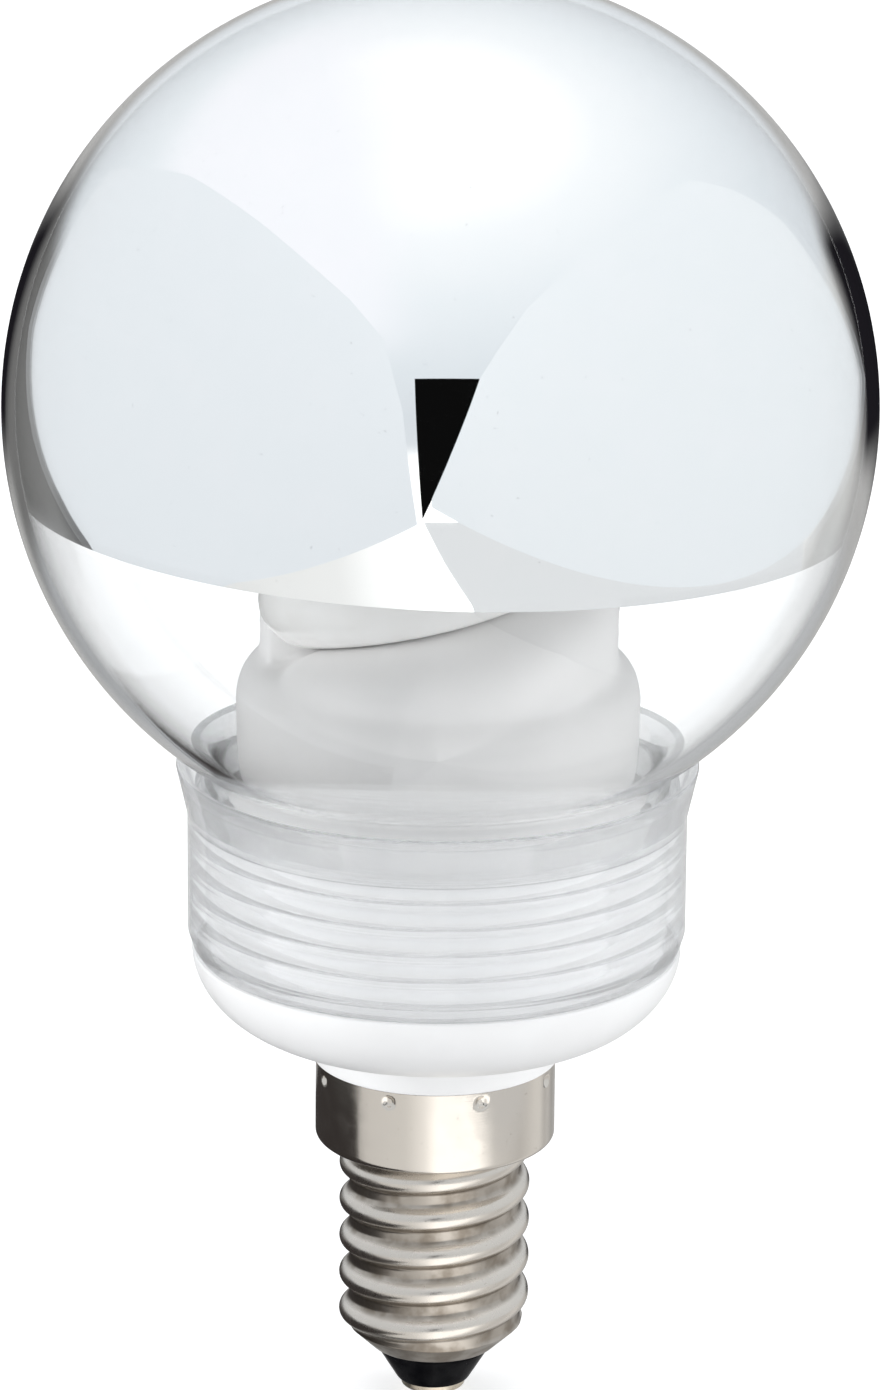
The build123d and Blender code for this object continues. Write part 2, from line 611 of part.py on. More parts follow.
def live_wire():
    """Insulated wire from the board through the neck to the centre contact."""
    path = FilletPolyline(
        (LIVE_X, LIVE_Y, BOARD_Z), (LIVE_X, LIVE_Y, LIVE_KNEE_Z), (0, 0, INSULATOR_TOP_Z + LIVE_STRAIGHT),
        (0, 0, INSULATOR_TOP_Z + 0.2), radius=WIRE_BEND_R)
    core = bar((0, 0, CONTACT_Z), (0, 0, INSULATOR_TOP_Z + 0.4), WIRE_HOLE_R - 0.1)
    return tube_along(path, WIRE_R) + core


def neutral_wire():
    """Insulated wire from the board to the joint on the screw shell."""
    return bar((NEUTRAL_X, 0, NEUTRAL_END_Z), (NEUTRAL_X, 0, BOARD_Z), WIRE_R)


def side_solder():
    """Solder bead that joins the neutral wire to the shell's inner step."""
    bead = Pos(NEUTRAL_X, 0, NEUTRAL_END_Z) * Sphere(SIDE_BEAD_R) & shell_bore()
    return bead - bar((NEUTRAL_X, 0, NEUTRAL_END_Z), (NEUTRAL_X, 0, BOARD_Z), WIRE_R + 0.02)


def punch_places(radius):
    """Places of the punch marks round the top of the cap's skirt."""
    return [Rot(0, 0, 360 / PUNCH_COUNT * (index + 0.5)) * Pos(radius, 0, SKIRT_TOP_Z - PUNCH_BELOW_TOP)
            for index in range(PUNCH_COUNT)]


def thread_bump():
    """Rolled thread of the cap: a rounded crest with hollow flanks, swept along its helix."""
    root_centre = THREAD_ROOT_R - THREAD_CREST_R + THREAD_ARC_R
    flank_z = THREAD_PITCH / 4
    flank_r = (THREAD_ROOT_R - THREAD_CREST_R) / 2
    foot_z = THREAD_PITCH / 2 * 0.86
    reach = THREAD_PITCH / 2 - foot_z
    foot_r = root_centre - math.sqrt(THREAD_ARC_R**2 - reach**2)
    mid_z = (flank_z + foot_z) / 2
    mid_r = root_centre - math.sqrt(THREAD_ARC_R**2 - (THREAD_PITCH / 2 - mid_z) ** 2)
    inner_r = SHELL_CORE_R - SHELL_WALL * 0.6 - THREAD_CREST_R
    section = make_face([
        ThreePointArc((foot_r, -foot_z), (mid_r, -mid_z), (flank_r, -flank_z)),
        ThreePointArc((flank_r, -flank_z), (0, 0), (flank_r, flank_z)),
        ThreePointArc((flank_r, flank_z), (mid_r, mid_z), (foot_r, foot_z)),
        Polyline((foot_r, foot_z), (inner_r, foot_z), (inner_r, -foot_z), (foot_r, -foot_z)),
    ])
    turns_below = 4.5
    start_z = THREAD_CREST_Z - THREAD_PITCH * turns_below
    height = SKIRT_BOTTOM_Z + THREAD_PITCH / 4 - start_z
    path = Helix(THREAD_PITCH, height, THREAD_CREST_R, (0, 0, start_z))
    across = Plane(origin=path @ 0, x_dir=(1, 0, 0), z_dir=path % 0)
    bump = sweep(across * section, path, is_frenet=True)
    return Rot(0, 0, THREAD_CREST_ANGLE - 360 * (turns_below % 1)) * bump


def shell_bore():
    """Form of the space inside the screw shell, punch marks included."""
    bore = turned([
        (0, SHELL_END_Z - 1), (SHELL_END_R - 0.45, SHELL_END_Z - 1), (SHELL_END_R - 0.45, SHELL_END_Z),
        (SHELL_BORE_R, SHELL_CONE_Z + 0.1), (SHELL_BORE_R, SHELL_STEP_Z + SHELL_WALL),
        (SKIRT_BORE_R, SKIRT_BOTTOM_Z + SHELL_WALL), (SKIRT_BORE_R, SKIRT_TOP_Z + 1), (0, SKIRT_TOP_Z + 1),
    ])
    for place in punch_places(SKIRT_R + PUNCH_R - PUNCH_DEPTH):
        bore -= place * Sphere(PUNCH_R + SHELL_WALL)
    return bore


def cap_shell():
    """Nickel-plated screw shell: rolled thread, skirt with punch marks, open at both ends."""
    crest_z = SHELL_END_Z + (THREAD_CREST_R - SHELL_END_R) * 0.95
    core = turned([
        (0, SHELL_END_Z), (SHELL_END_R, SHELL_END_Z), (SHELL_CORE_R, SHELL_CONE_Z),
        (SHELL_CORE_R, SHELL_STEP_Z),
        (SKIRT_R, SKIRT_BOTTOM_Z), (SKIRT_R, SKIRT_TOP_Z), (0, SKIRT_TOP_Z),
    ], [((SKIRT_R, SKIRT_BOTTOM_Z), SKIRT_EDGE_R)])
    envelope = turned([
        (0, SHELL_END_Z), (SHELL_END_R, SHELL_END_Z), (THREAD_CREST_R, crest_z),
        (THREAD_CREST_R + 0.5, crest_z + 0.5), (THREAD_CREST_R + 0.5, SHELL_STEP_Z + 0.45),
        (0, SHELL_STEP_Z + 0.45),
    ])
    shell = core + (thread_bump() & envelope)
    for place in punch_places(SKIRT_R + PUNCH_R - PUNCH_DEPTH):
        shell -= place * Sphere(PUNCH_R)
    return shell - shell_bore()


def cap_insulator():
    """Black glass that fills the shell's lower end and stands out as a rounded cone."""
    mouth_r = SHELL_END_R - 0.5
    body = turned([
        (0, INSULATOR_TIP_Z), (INSULATOR_TIP_R, INSULATOR_TIP_Z), (mouth_r, SHELL_END_Z - 0.35),
        (mouth_r, SHELL_END_Z + 0.05), (SHELL_BORE_R - 0.06, SHELL_CONE_Z + 0.15),
        (SHELL_BORE_R - 0.06, INSULATOR_TOP_Z), (0, INSULATOR_TOP_Z),
    ], [((INSULATOR_TIP_R, INSULATOR_TIP_Z), 0.5)])
    return body - Pos(0, 0, INSULATOR_TOP_Z / 2) * Cylinder(WIRE_HOLE_R, 2 * INSULATOR_TOP_Z)


def centre_contact():
    """Round contact plate with a hole for the live wire."""
    plate = turned([
        (WIRE_HOLE_R, CONTACT_Z), (CONTACT_R, CONTACT_Z), (CONTACT_R, INSULATOR_TIP_Z),
        (WIRE_HOLE_R, INSULATOR_TIP_Z),
    ], [((CONTACT_R, CONTACT_Z), 0.3)])
    return plate


def contact_solder():
    """Drop of solder over the wire's end at the tip of the cap."""
    height = CONTACT_Z
    drop_r = (SOLDER_R**2 + height**2) / (2 * height)
    meridian = make_face([
        ThreePointArc((0, 0), (SOLDER_R * 0.55, drop_r - math.sqrt(drop_r**2 - (SOLDER_R * 0.55) ** 2)),
                      (SOLDER_R, height)),
        Line((SOLDER_R, height), (0, height)),
        Line((0, height), (0, 0)),
    ])
    return revolve(Plane.XZ * meridian, Axis.Z)


SUBPARTS = {
    "glass_globe": glass_globe,
    "mirror_coating": mirror_coating,
    "clear_collar": clear_collar,
    "globe_adhesive": globe_adhesive,
    "lower_cup": lower_cup,
    "tube_cover": tube_cover,
    "spiral_tube": spiral_tube,
    "tube_leads": tube_leads,
    "wrap_pins": wrap_pins,
    "circuit_board": circuit_board,
    "solder_joints": solder_joints,
    "electrolytic_capacitor": electrolytic_capacitor,
    "choke_core": choke_core,
    "choke_bobbin": choke_bobbin,
    "choke_winding": choke_winding,
    "toroid_core": toroid_core,
    "toroid_winding": toroid_winding,
    "transistors": transistors,
    "resonant_capacitor": resonant_capacitor,
    "blocking_capacitor": blocking_capacitor,
    "rectifier_diodes": rectifier_diodes,
    "resistors": resistors,
    "diac": diac,
    "fusible_resistor": fusible_resistor,
    "live_wire": live_wire,
    "neutral_wire": neutral_wire,
    "side_solder": side_solder,
    "cap_shell": cap_shell,
    "cap_insulator": cap_insulator,
    "centre_contact": centre_contact,
    "contact_solder": contact_solder,
}


def main():
    """Builds every sub-part and writes it as a file of its own."""
    os.makedirs("parts", exist_ok=True)
    for name, build in SUBPARTS.items():
        export_step(build(), os.path.join("parts", name + ".step"))


if __name__ == "__main__":
    main()
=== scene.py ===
"""Studio look of a globe energy saving bulb with a silvered crown and an E14 screw cap.

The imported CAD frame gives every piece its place. What shows is built again here as smooth
meshes of the same form, and the ballast inside keeps its CAD solids with better finishes.
Sizes are in millimetres, heights are above the tip of the contact, and -Y is the front.
"""

import json
import logging
import math
from collections.abc import Callable, Sequence
from dataclasses import dataclass
from enum import Enum
from typing import Any

import bmesh
import bpy
import numpy as np
from mathutils import Matrix, Vector

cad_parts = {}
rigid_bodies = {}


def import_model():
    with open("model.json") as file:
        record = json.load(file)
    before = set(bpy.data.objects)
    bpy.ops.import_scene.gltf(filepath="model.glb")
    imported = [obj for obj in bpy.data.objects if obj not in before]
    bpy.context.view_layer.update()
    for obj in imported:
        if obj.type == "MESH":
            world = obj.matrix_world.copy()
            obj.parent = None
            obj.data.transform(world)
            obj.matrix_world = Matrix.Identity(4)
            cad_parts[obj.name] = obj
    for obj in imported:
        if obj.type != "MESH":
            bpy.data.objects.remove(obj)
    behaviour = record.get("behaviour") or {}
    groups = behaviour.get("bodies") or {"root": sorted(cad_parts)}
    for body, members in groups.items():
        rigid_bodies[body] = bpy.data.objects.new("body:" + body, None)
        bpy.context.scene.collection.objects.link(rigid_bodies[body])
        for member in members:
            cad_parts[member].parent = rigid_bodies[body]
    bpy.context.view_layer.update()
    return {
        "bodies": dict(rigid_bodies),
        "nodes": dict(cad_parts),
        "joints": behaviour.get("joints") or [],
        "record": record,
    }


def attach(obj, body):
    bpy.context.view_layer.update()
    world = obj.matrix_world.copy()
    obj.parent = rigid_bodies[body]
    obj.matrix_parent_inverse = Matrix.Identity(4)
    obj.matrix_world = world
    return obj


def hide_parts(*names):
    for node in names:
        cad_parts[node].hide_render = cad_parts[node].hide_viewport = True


LOG = logging.getLogger("globe_bulb")
MM = 0.001
Point = tuple[float, float]
Colour = tuple[float, float, float]
Place = tuple[float, float, float]

GLOBE_SIDES = 192
RING_SIDES = 160
SMALL_SIDES = 96
THREAD_SIDES = 360
HOOD_SIDES = 32
DROP_SIDES = 64
FLOOR_SIDES = 64
WAVE_PERIOD = 6.28


# Outlines and turned forms


def arc(centre: Point, radius: float, start: float, end: float, steps: int) -> list[Point]:
    """Points along a circular arc.

    Args:
        centre: Radius and height of the arc's centre.
        radius: Radius of the arc.
        start: Angle of the first point in degrees, from the outward direction.
        end: Angle of the last point in degrees.
        steps: Number of spans.

    Returns:
        The points, both ends included.
    """
    angles = [math.radians(start + (end - start) * step / steps) for step in range(steps + 1)]
    return [(centre[0] + radius * math.cos(a), centre[1] + radius * math.sin(a)) for a in angles]


def bend(knots: Sequence[Point], steps: int) -> list[Point]:
    """Points along a cubic Bezier curve.

    Args:
        knots: The curve's four control points.
        steps: Number of spans.

    Returns:
        The points, both ends included.
    """
    points = []
    for step in range(steps + 1):
        t = step / steps
        share = ((1 - t) ** 3, 3 * t * (1 - t) ** 2, 3 * t * t * (1 - t), t**3)
        radius = sum(s * k[0] for s, k in zip(share, knots))
        height = sum(s * k[1] for s, k in zip(share, knots))
        points.append((radius, height))
    return points


def rounded(corners: Sequence[Place], steps: int = 5) -> list[Point]:
    """Points along an outline whose corners are rounded.

    Args:
        corners: Radius, height and rounding of each corner; 0 leaves a corner sharp.
        steps: Number of spans in each rounding.

    Returns:
        The outline's points.
    """
    points: list[Point] = []
    for index, (radius, height, rounding) in enumerate(corners):
        corner = Vector((radius, height))
        if rounding <= 0:
            points.append((radius, height))
            continue
        before = (Vector(corners[index - 1][:2]) - corner).normalized()
        after = (Vector(corners[(index + 1) % len(corners)][:2]) - corner).normalized()
        half = before.angle(after) / 2
        middle = corner + (before + after).normalized() * (rounding / math.sin(half))
        first = corner + before * (rounding / math.tan(half)) - middle
        last = corner + after * (rounding / math.tan(half)) - middle
        turn = first.angle_signed(last)
        for step in range(steps + 1):
            spot = middle + Matrix.Rotation(-turn * step / steps, 2) @ first
            points.append((spot.x, spot.y))
    return points


def spaced(outline: Sequence[Point], pitch: float) -> list[Point]:
    """Adds points to an outline's long spans.

    Args:
        outline: Points of an open outline.
        pitch: Longest span that is left.

    Returns:
        The outline with its spans divided.
    """
    points = [outline[0]]
    for before, after in zip(outline, outline[1:]):
        count = max(1, math.ceil(math.dist(before, after) / pitch))
        points += [
            tuple(b + (a - b) * k / count for b, a in zip(before, after))
            for k in range(1, count + 1)
        ]
    return points


def as_object(name: str, mesh: bpy.types.Mesh, sharp: float = 32.0) -> bpy.types.Object:
    """Puts a mesh in the scene as an object of its own.

    Args:
        name: Name of the object.
        mesh: Its mesh, in metres and in place.
        sharp: Angle in degrees above which an edge stays sharp.

    Returns:
        The new object.
    """
    mesh.shade_smooth()
    mesh.set_sharp_from_angle(angle=math.radians(sharp))
    made = bpy.data.objects.new(name, mesh)
    bpy.context.scene.collection.objects.link(made)
    return made


def turned_mesh(
    name: str, outline: Sequence[Point], segments: int, frame: Matrix | None = None
) -> bpy.types.Mesh:
    """Revolves an outline about the lamp's axis into a closed mesh.

    Args:
        name: Name of the mesh.
        outline: Radius and height of each point. An outline that starts and ends on the axis is
            closed by its poles, and any other one is closed on itself.
        segments: Number of faces round the axis.
        frame: Turns and moves the finished form, in metres.

    Returns:
        The mesh, with its faces pointing out.
    """
    shape = bmesh.new()
    rings = []
    for radius, height in outline:
        if radius < 1e-6:
            rings.append([shape.verts.new((0, 0, height * MM))])
            continue
        rings.append([
            shape.verts.new((
                radius * MM * math.cos(2 * math.pi * k / segments),
                radius * MM * math.sin(2 * math.pi * k / segments),
                height * MM,
            ))
            for k in range(segments)
        ])
    loops = list(zip(rings, rings[1:]))
    if len(rings[0]) > 1:
        loops.append((rings[-1], rings[0]))
    for lower, upper in loops:
        if len(lower) == len(upper) == 1:
            continue
        for k in range(segments):
            corners = [
                lower[k % len(lower)], lower[(k + 1) % len(lower)],
                upper[(k + 1) % len(upper)], upper[k % len(upper)],
            ]
            shape.faces.new(dict.fromkeys(corners))
    bmesh.ops.recalc_face_normals(shape, faces=shape.faces)
    if frame is not None:
        shape.transform(frame)
    mesh = bpy.data.meshes.new(name)
    shape.to_mesh(mesh)
    shape.free()
    return mesh


def joined(name: str, meshes: Sequence[bpy.types.Mesh]) -> bpy.types.Mesh:
    """Puts several meshes into one.

    Args:
        name: Name of the joined mesh.
        meshes: The meshes, which are removed afterwards.

    Returns:
        The joined mesh.
    """
    shape = bmesh.new()
    for mesh in meshes:
        shape.from_mesh(mesh)
    result = bpy.data.meshes.new(name)
    shape.to_mesh(result)
    shape.free()
    for mesh in meshes:
        bpy.data.meshes.remove(mesh)
    return result


# Node trees


class Wiring:
    """A node tree being put together, with short ways to add its nodes."""

    tree: bpy.types.NodeTree

    def node(
        self, kind: str, inputs: dict[str | int, Any] | None = None, **settings: Any
    ) -> bpy.types.Node:
        """Adds a node.

        Args:
            kind: The node's type.
            inputs: Values or sockets for its inputs, by name or number.
            **settings: Its properties.

        Returns:
            The node.
        """
        made = self.tree.nodes.new(kind)
        for name, value in settings.items():
            setattr(made, name, value)
        for name, value in (inputs or {}).items():
            if isinstance(value, bpy.types.NodeSocket):
                self.tree.links.new(value, made.inputs[name])
            else:
                made.inputs[name].default_value = value
        return made

    def sum(self, kind: str, *terms: Any) -> bpy.types.NodeSocket:
        """Works out one step of arithmetic.

        Args:
            kind: The Math node's operation.
            *terms: Its terms, as numbers or sockets.

        Returns:
            The result's socket.
        """
        return self.node("ShaderNodeMath", dict(enumerate(terms)), operation=kind).outputs[0]

    def ramp(
        self, value: bpy.types.NodeSocket, low: float, high: float, start: float = 0.0,
        end: float = 1.0, smooth: bool = True,
    ) -> bpy.types.NodeSocket:
        """Maps a value from one range to another.

        Args:
            value: The value.
            low: Value that gives start.
            high: Value that gives end.
            start: Result at low.
            end: Result at high.
            smooth: Eases both ends.

        Returns:
            The mapped value.
        """
        inputs = {0: value, 1: low, 2: high, 3: start, 4: end}
        kind = "SMOOTHSTEP" if smooth else "LINEAR"
        return self.node("ShaderNodeMapRange", inputs, interpolation_type=kind).outputs[0]

    def mix(self, share: Any, first: Any, second: Any) -> bpy.types.NodeSocket:
        """Mixes two colours.

        Args:
            share: Share of the second colour.
            first: First colour, or its socket.
            second: Second colour, or its socket.

        Returns:
            The mixed colour.
        """
        colours = [(*c, 1.0) if isinstance(c, tuple) else c for c in (first, second)]
        inputs = {0: share, 6: colours[0], 7: colours[1]}
        return self.node("ShaderNodeMix", inputs, data_type="RGBA").outputs[2]


class FormTree(Wiring):
    """A geometry node tree with named inputs, run on a mesh and turned into a plain mesh."""

    def __init__(self, name: str) -> None:
        """Starts an empty tree."""
        self.tree = bpy.data.node_groups.new(name, "GeometryNodeTree")
        for way in ("INPUT", "OUTPUT"):
            self.tree.interface.new_socket("Geometry", in_out=way, socket_type="NodeSocketGeometry")
        self.source = self.tree.nodes.new("NodeGroupInput")
        self.result = self.tree.nodes.new("NodeGroupOutput")
        self.values: dict[str, float | int] = {}

    def size(self, name: str, value: float | int) -> bpy.types.NodeSocket:
        """Adds a named size as an input.

        Args:
            name: The input's name.
            value: Its value; a whole number makes a whole-number input.

        Returns:
            The socket that carries it inside the tree.
        """
        kind = "NodeSocketInt" if isinstance(value, int) else "NodeSocketFloat"
        socket = self.tree.interface.new_socket(name, in_out="INPUT", socket_type=kind)
        self.values[socket.identifier] = value
        return next(s for s in self.source.outputs if s.identifier == socket.identifier)

    def root(self, value: bpy.types.NodeSocket) -> bpy.types.NodeSocket:
        """Square root of a value, or 0 where the value is negative."""
        return self.sum("SQRT", self.sum("MAXIMUM", value, 0.0))

    def to_nearest(self, value: bpy.types.NodeSocket, plain: bool) -> bpy.types.NodeSocket:
        """Distance of a value from the nearest whole number, without its sign if plain."""
        left = self.sum("SUBTRACT", value, self.sum("ROUND", value))
        return self.sum("ABSOLUTE", left) if plain else left

    def choose(self, hit: bpy.types.NodeSocket, no: Any, yes: Any) -> bpy.types.NodeSocket:
        """The one value where hit is 0, and the other where it is 1."""
        inputs = {0: hit, 2: no, 3: yes}
        return self.node("ShaderNodeMix", inputs, data_type="FLOAT").outputs[0]

    def run(
        self, obj: bpy.types.Object, shape: bpy.types.NodeSocket, material: bpy.types.Material
    ) -> None:
        """Ends the tree, runs it on an object and keeps the result as a plain mesh.

        Args:
            obj: The object that the tree starts from.
            shape: Socket of the finished geometry.
            material: Material of its faces.
        """
        real = self.node("GeometryNodeRealizeInstances", {"Geometry": shape})
        dressed = self.node(
            "GeometryNodeSetMaterial", {"Geometry": real.outputs[0], "Material": material}
        )
        self.tree.links.new(dressed.outputs[0], self.result.inputs[0])
        modifier = obj.modifiers.new(self.tree.name, "NODES")
        modifier.node_group = self.tree
        for identifier, value in self.values.items():
            modifier[identifier] = value
        graph = bpy.context.evaluated_depsgraph_get()
        mesh = bpy.data.meshes.new_from_object(
            obj.evaluated_get(graph), preserve_all_data_layers=True, depsgraph=graph
        )
        obj.modifiers.clear()
        old, obj.data = obj.data, mesh
        bpy.data.meshes.remove(old)


class Recipe(Wiring):
    """A material's node tree while it is being put together."""

    def __init__(self, name: str) -> None:
        """Starts a material that has only its output."""
        self.material = bpy.data.materials.new(name)
        self.material.use_nodes = True
        self.tree = self.material.node_tree
        self.tree.nodes.clear()
        self.end = self.node("ShaderNodeOutputMaterial")
        self.place = self.node("ShaderNodeTexCoord").outputs["Object"]

    def squeezed(self, stretch: Place) -> bpy.types.NodeSocket:
        """The piece's coordinates, with each axis drawn out by a factor."""
        inputs = {0: self.place, 3: stretch}
        return self.node("ShaderNodeMapping", inputs, vector_type="POINT").outputs[0]

    def noise(
        self, size: float, detail: float = 3.0, where: bpy.types.NodeSocket | None = None
    ) -> bpy.types.NodeSocket:
        """Cloudy noise on the piece.

        Args:
            size: Size of its patches in millimetres.
            detail: How many finer layers it has.
            where: Coordinates, if not the piece's own.

        Returns:
            The noise, from 0 to 1.
        """
        inputs = {"Vector": where or self.place, "Scale": 1 / (size * MM), "Detail": detail}
        return self.node("ShaderNodeTexNoise", inputs).outputs[0]

    def relief(
        self, height: bpy.types.NodeSocket, depth: float, under: bpy.types.NodeSocket | None = None
    ) -> bpy.types.NodeSocket:
        """Raises a pattern from the surface.

        Args:
            height: The pattern, from 0 to 1.
            depth: Its depth in millimetres.
            under: A coarser relief below it.

        Returns:
            The normal.
        """
        inputs: dict[str | int, Any] = {"Height": height, "Distance": depth * MM, "Strength": 1.0}
        if under is not None:
            inputs["Normal"] = under
        return self.node("ShaderNodeBump", inputs).outputs[0]

    def done(self, shader: bpy.types.NodeSocket) -> bpy.types.Material:
        """Ends the material with its shader and returns it."""
        self.tree.links.new(shader, self.end.inputs["Surface"])
        return self.material


# Finishes


class Grain(Enum):
    """The pattern that a solid finish shows up close."""

    CLOUD = "cloud"
    SPECKLE = "speckle"
    FIBRE = "fibre"
    TURNS = "turns"
    BANDS = "bands"


@dataclass(frozen=True)
class SolidFinish:
    """An opaque finish: plastic, resin, ferrite, laminate, solder or wire.

    Attributes:
        name: Name of the material.
        colour: Main colour.
        second: Colour of its grain.
        grain: Kind of grain.
        size: Size of the grain in millimetres.
        shine: Roughness at its smoothest and at its roughest.
        depth: Depth of the relief in millimetres.
        metal: Metallic share.
        coat: Weight of a clear coat.
        gloss: Level of its plain reflection.
    """

    name: str
    colour: Colour
    second: Colour
    grain: Grain = Grain.CLOUD
    size: float = 1.0
    shine: Point = (0.35, 0.5)
    depth: float = 0.01
    metal: float = 0.0
    coat: float = 0.0
    gloss: float = 0.5

    def pattern(self, recipe: Recipe) -> bpy.types.NodeSocket:
        """The grain itself.

        Args:
            recipe: The material being made.

        Returns:
            The pattern, from 0 to 1.
        """
        scale = 1 / (self.size * MM)
        if self.grain is Grain.SPECKLE:
            cells = recipe.node("ShaderNodeTexVoronoi", {"Vector": recipe.place, "Scale": scale})
            return recipe.ramp(cells.outputs["Distance"], 0.1, 0.55)
        if self.grain is Grain.FIBRE:
            across = recipe.noise(self.size, 2.0, recipe.squeezed((0.15, 1.0, 1.0)))
            along = recipe.noise(self.size, 2.0, recipe.squeezed((1.0, 0.15, 1.0)))
            return recipe.sum("MULTIPLY", recipe.sum("ADD", across, along), 0.5)
        waves = {"Vector": recipe.place, "Scale": scale / WAVE_PERIOD}
        if self.grain is Grain.TURNS:
            waves |= {"Distortion": 0.4, "Detail": 1.0}
            return recipe.node("ShaderNodeTexWave", waves, bands_direction="Z").outputs[0]
        if self.grain is Grain.BANDS:
            waves |= {"Distortion": 0.0}
            stripes = recipe.node("ShaderNodeTexWave", waves, bands_direction="DIAGONAL")
            return recipe.ramp(stripes.outputs[0], 0.62, 0.72)
        return recipe.ramp(recipe.noise(self.size), 0.3, 0.7)

    def material(self) -> bpy.types.Material:
        """Builds the material.

        Returns:
            The finished material.
        """
        recipe = Recipe(self.name)
        grain = self.pattern(recipe)
        fine = recipe.noise(self.size * 0.22, 4.0)
        inputs = {
            "Base Color": recipe.mix(grain, self.colour, self.second),
            "Metallic": self.metal,
            "Roughness": recipe.ramp(fine, 0.3, 0.7, *self.shine),
            "Coat Weight": self.coat,
            "Specular IOR Level": self.gloss,
            "Coat Roughness": 0.04,
            "Normal": recipe.relief(grain, self.depth, recipe.relief(fine, self.depth * 0.35)),
        }
        return recipe.done(recipe.node("ShaderNodeBsdfPrincipled", inputs).outputs[0])


@dataclass(frozen=True)
class ClearFinish:
    """Glass, clear plastic or silicone that lets the lamps through.

    Attributes:
        name: Name of the material.
        tint: Colour that it lets through.
        bending: Index of refraction.
        shine: Roughness at its smoothest and at its roughest.
        ripple: Size of the waves in its surface, in millimetres.
        depth: Depth of those waves in millimetres.
        drawn: Stretch of the waves along each axis.
        straight: Share of the light that passes without bending, as through a thin wall.
        milk: Share that the plastic scatters.
    """

    name: str
    tint: Colour
    bending: float
    shine: Point
    ripple: float
    depth: float
    drawn: Place = (1.0, 1.0, 1.0)
    straight: float = 0.0
    milk: float = 0.0

    def material(self) -> bpy.types.Material:
        """Builds the material.

        Returns:
            The finished material.
        """
        recipe = Recipe(self.name)
        waves = recipe.noise(self.ripple, 2.0, recipe.squeezed(self.drawn))
        haze = recipe.noise(self.ripple * 0.35, 3.0)
        pale = recipe.ramp(haze, 0.35, 0.75, 0.0, 0.5)
        inputs = {
            "Base Color": recipe.mix(pale, self.tint, (1.0, 1.0, 1.0)),
            "Roughness": recipe.ramp(haze, 0.35, 0.75, *self.shine),
            "IOR": self.bending,
            "Transmission Weight": 1.0 - self.milk,
            "Normal": recipe.relief(waves, self.depth),
        }
        glass = recipe.node("ShaderNodeBsdfPrincipled", inputs)
        clear = recipe.node("ShaderNodeBsdfTransparent", {0: (*self.tint, 1.0)})
        lamps = recipe.node("ShaderNodeLightPath").outputs["Is Shadow Ray"]
        share = recipe.sum("MAXIMUM", lamps, self.straight)
        inputs = {0: share, 1: glass.outputs[0], 2: clear.outputs[0]}
        return recipe.done(recipe.node("ShaderNodeMixShader", inputs).outputs[0])


@dataclass(frozen=True)
class SilverFinish:
    """Silver film on the crown: a near-perfect mirror with faint waves and tiny pinholes.

    Attributes:
        name: Name of the material.
        colour: Colour of the film.
        pinhole: Colour of its pinholes.
        depth: Depth of the waves in millimetres.
    """

    name: str = "vapour_silver"
    colour: Colour = (0.955, 0.965, 0.97)
    pinhole: Colour = (0.84, 0.85, 0.86)
    depth: float = 0.004

    def material(self) -> bpy.types.Material:
        """Builds the material.

        Returns:
            The finished material.
        """
        recipe = Recipe(self.name)
        waves = recipe.noise(14.0, 1.0)
        dust = recipe.ramp(recipe.noise(0.35, 2.0), 0.70, 0.78)
        inputs = {
            "Base Color": recipe.mix(dust, self.colour, self.pinhole),
            "Metallic": 1.0,
            "Roughness": recipe.ramp(recipe.noise(3.0), 0.3, 0.8, 0.0, 0.03),
            "Normal": recipe.relief(waves, self.depth),
        }
        return recipe.done(recipe.node("ShaderNodeBsdfPrincipled", inputs).outputs[0])


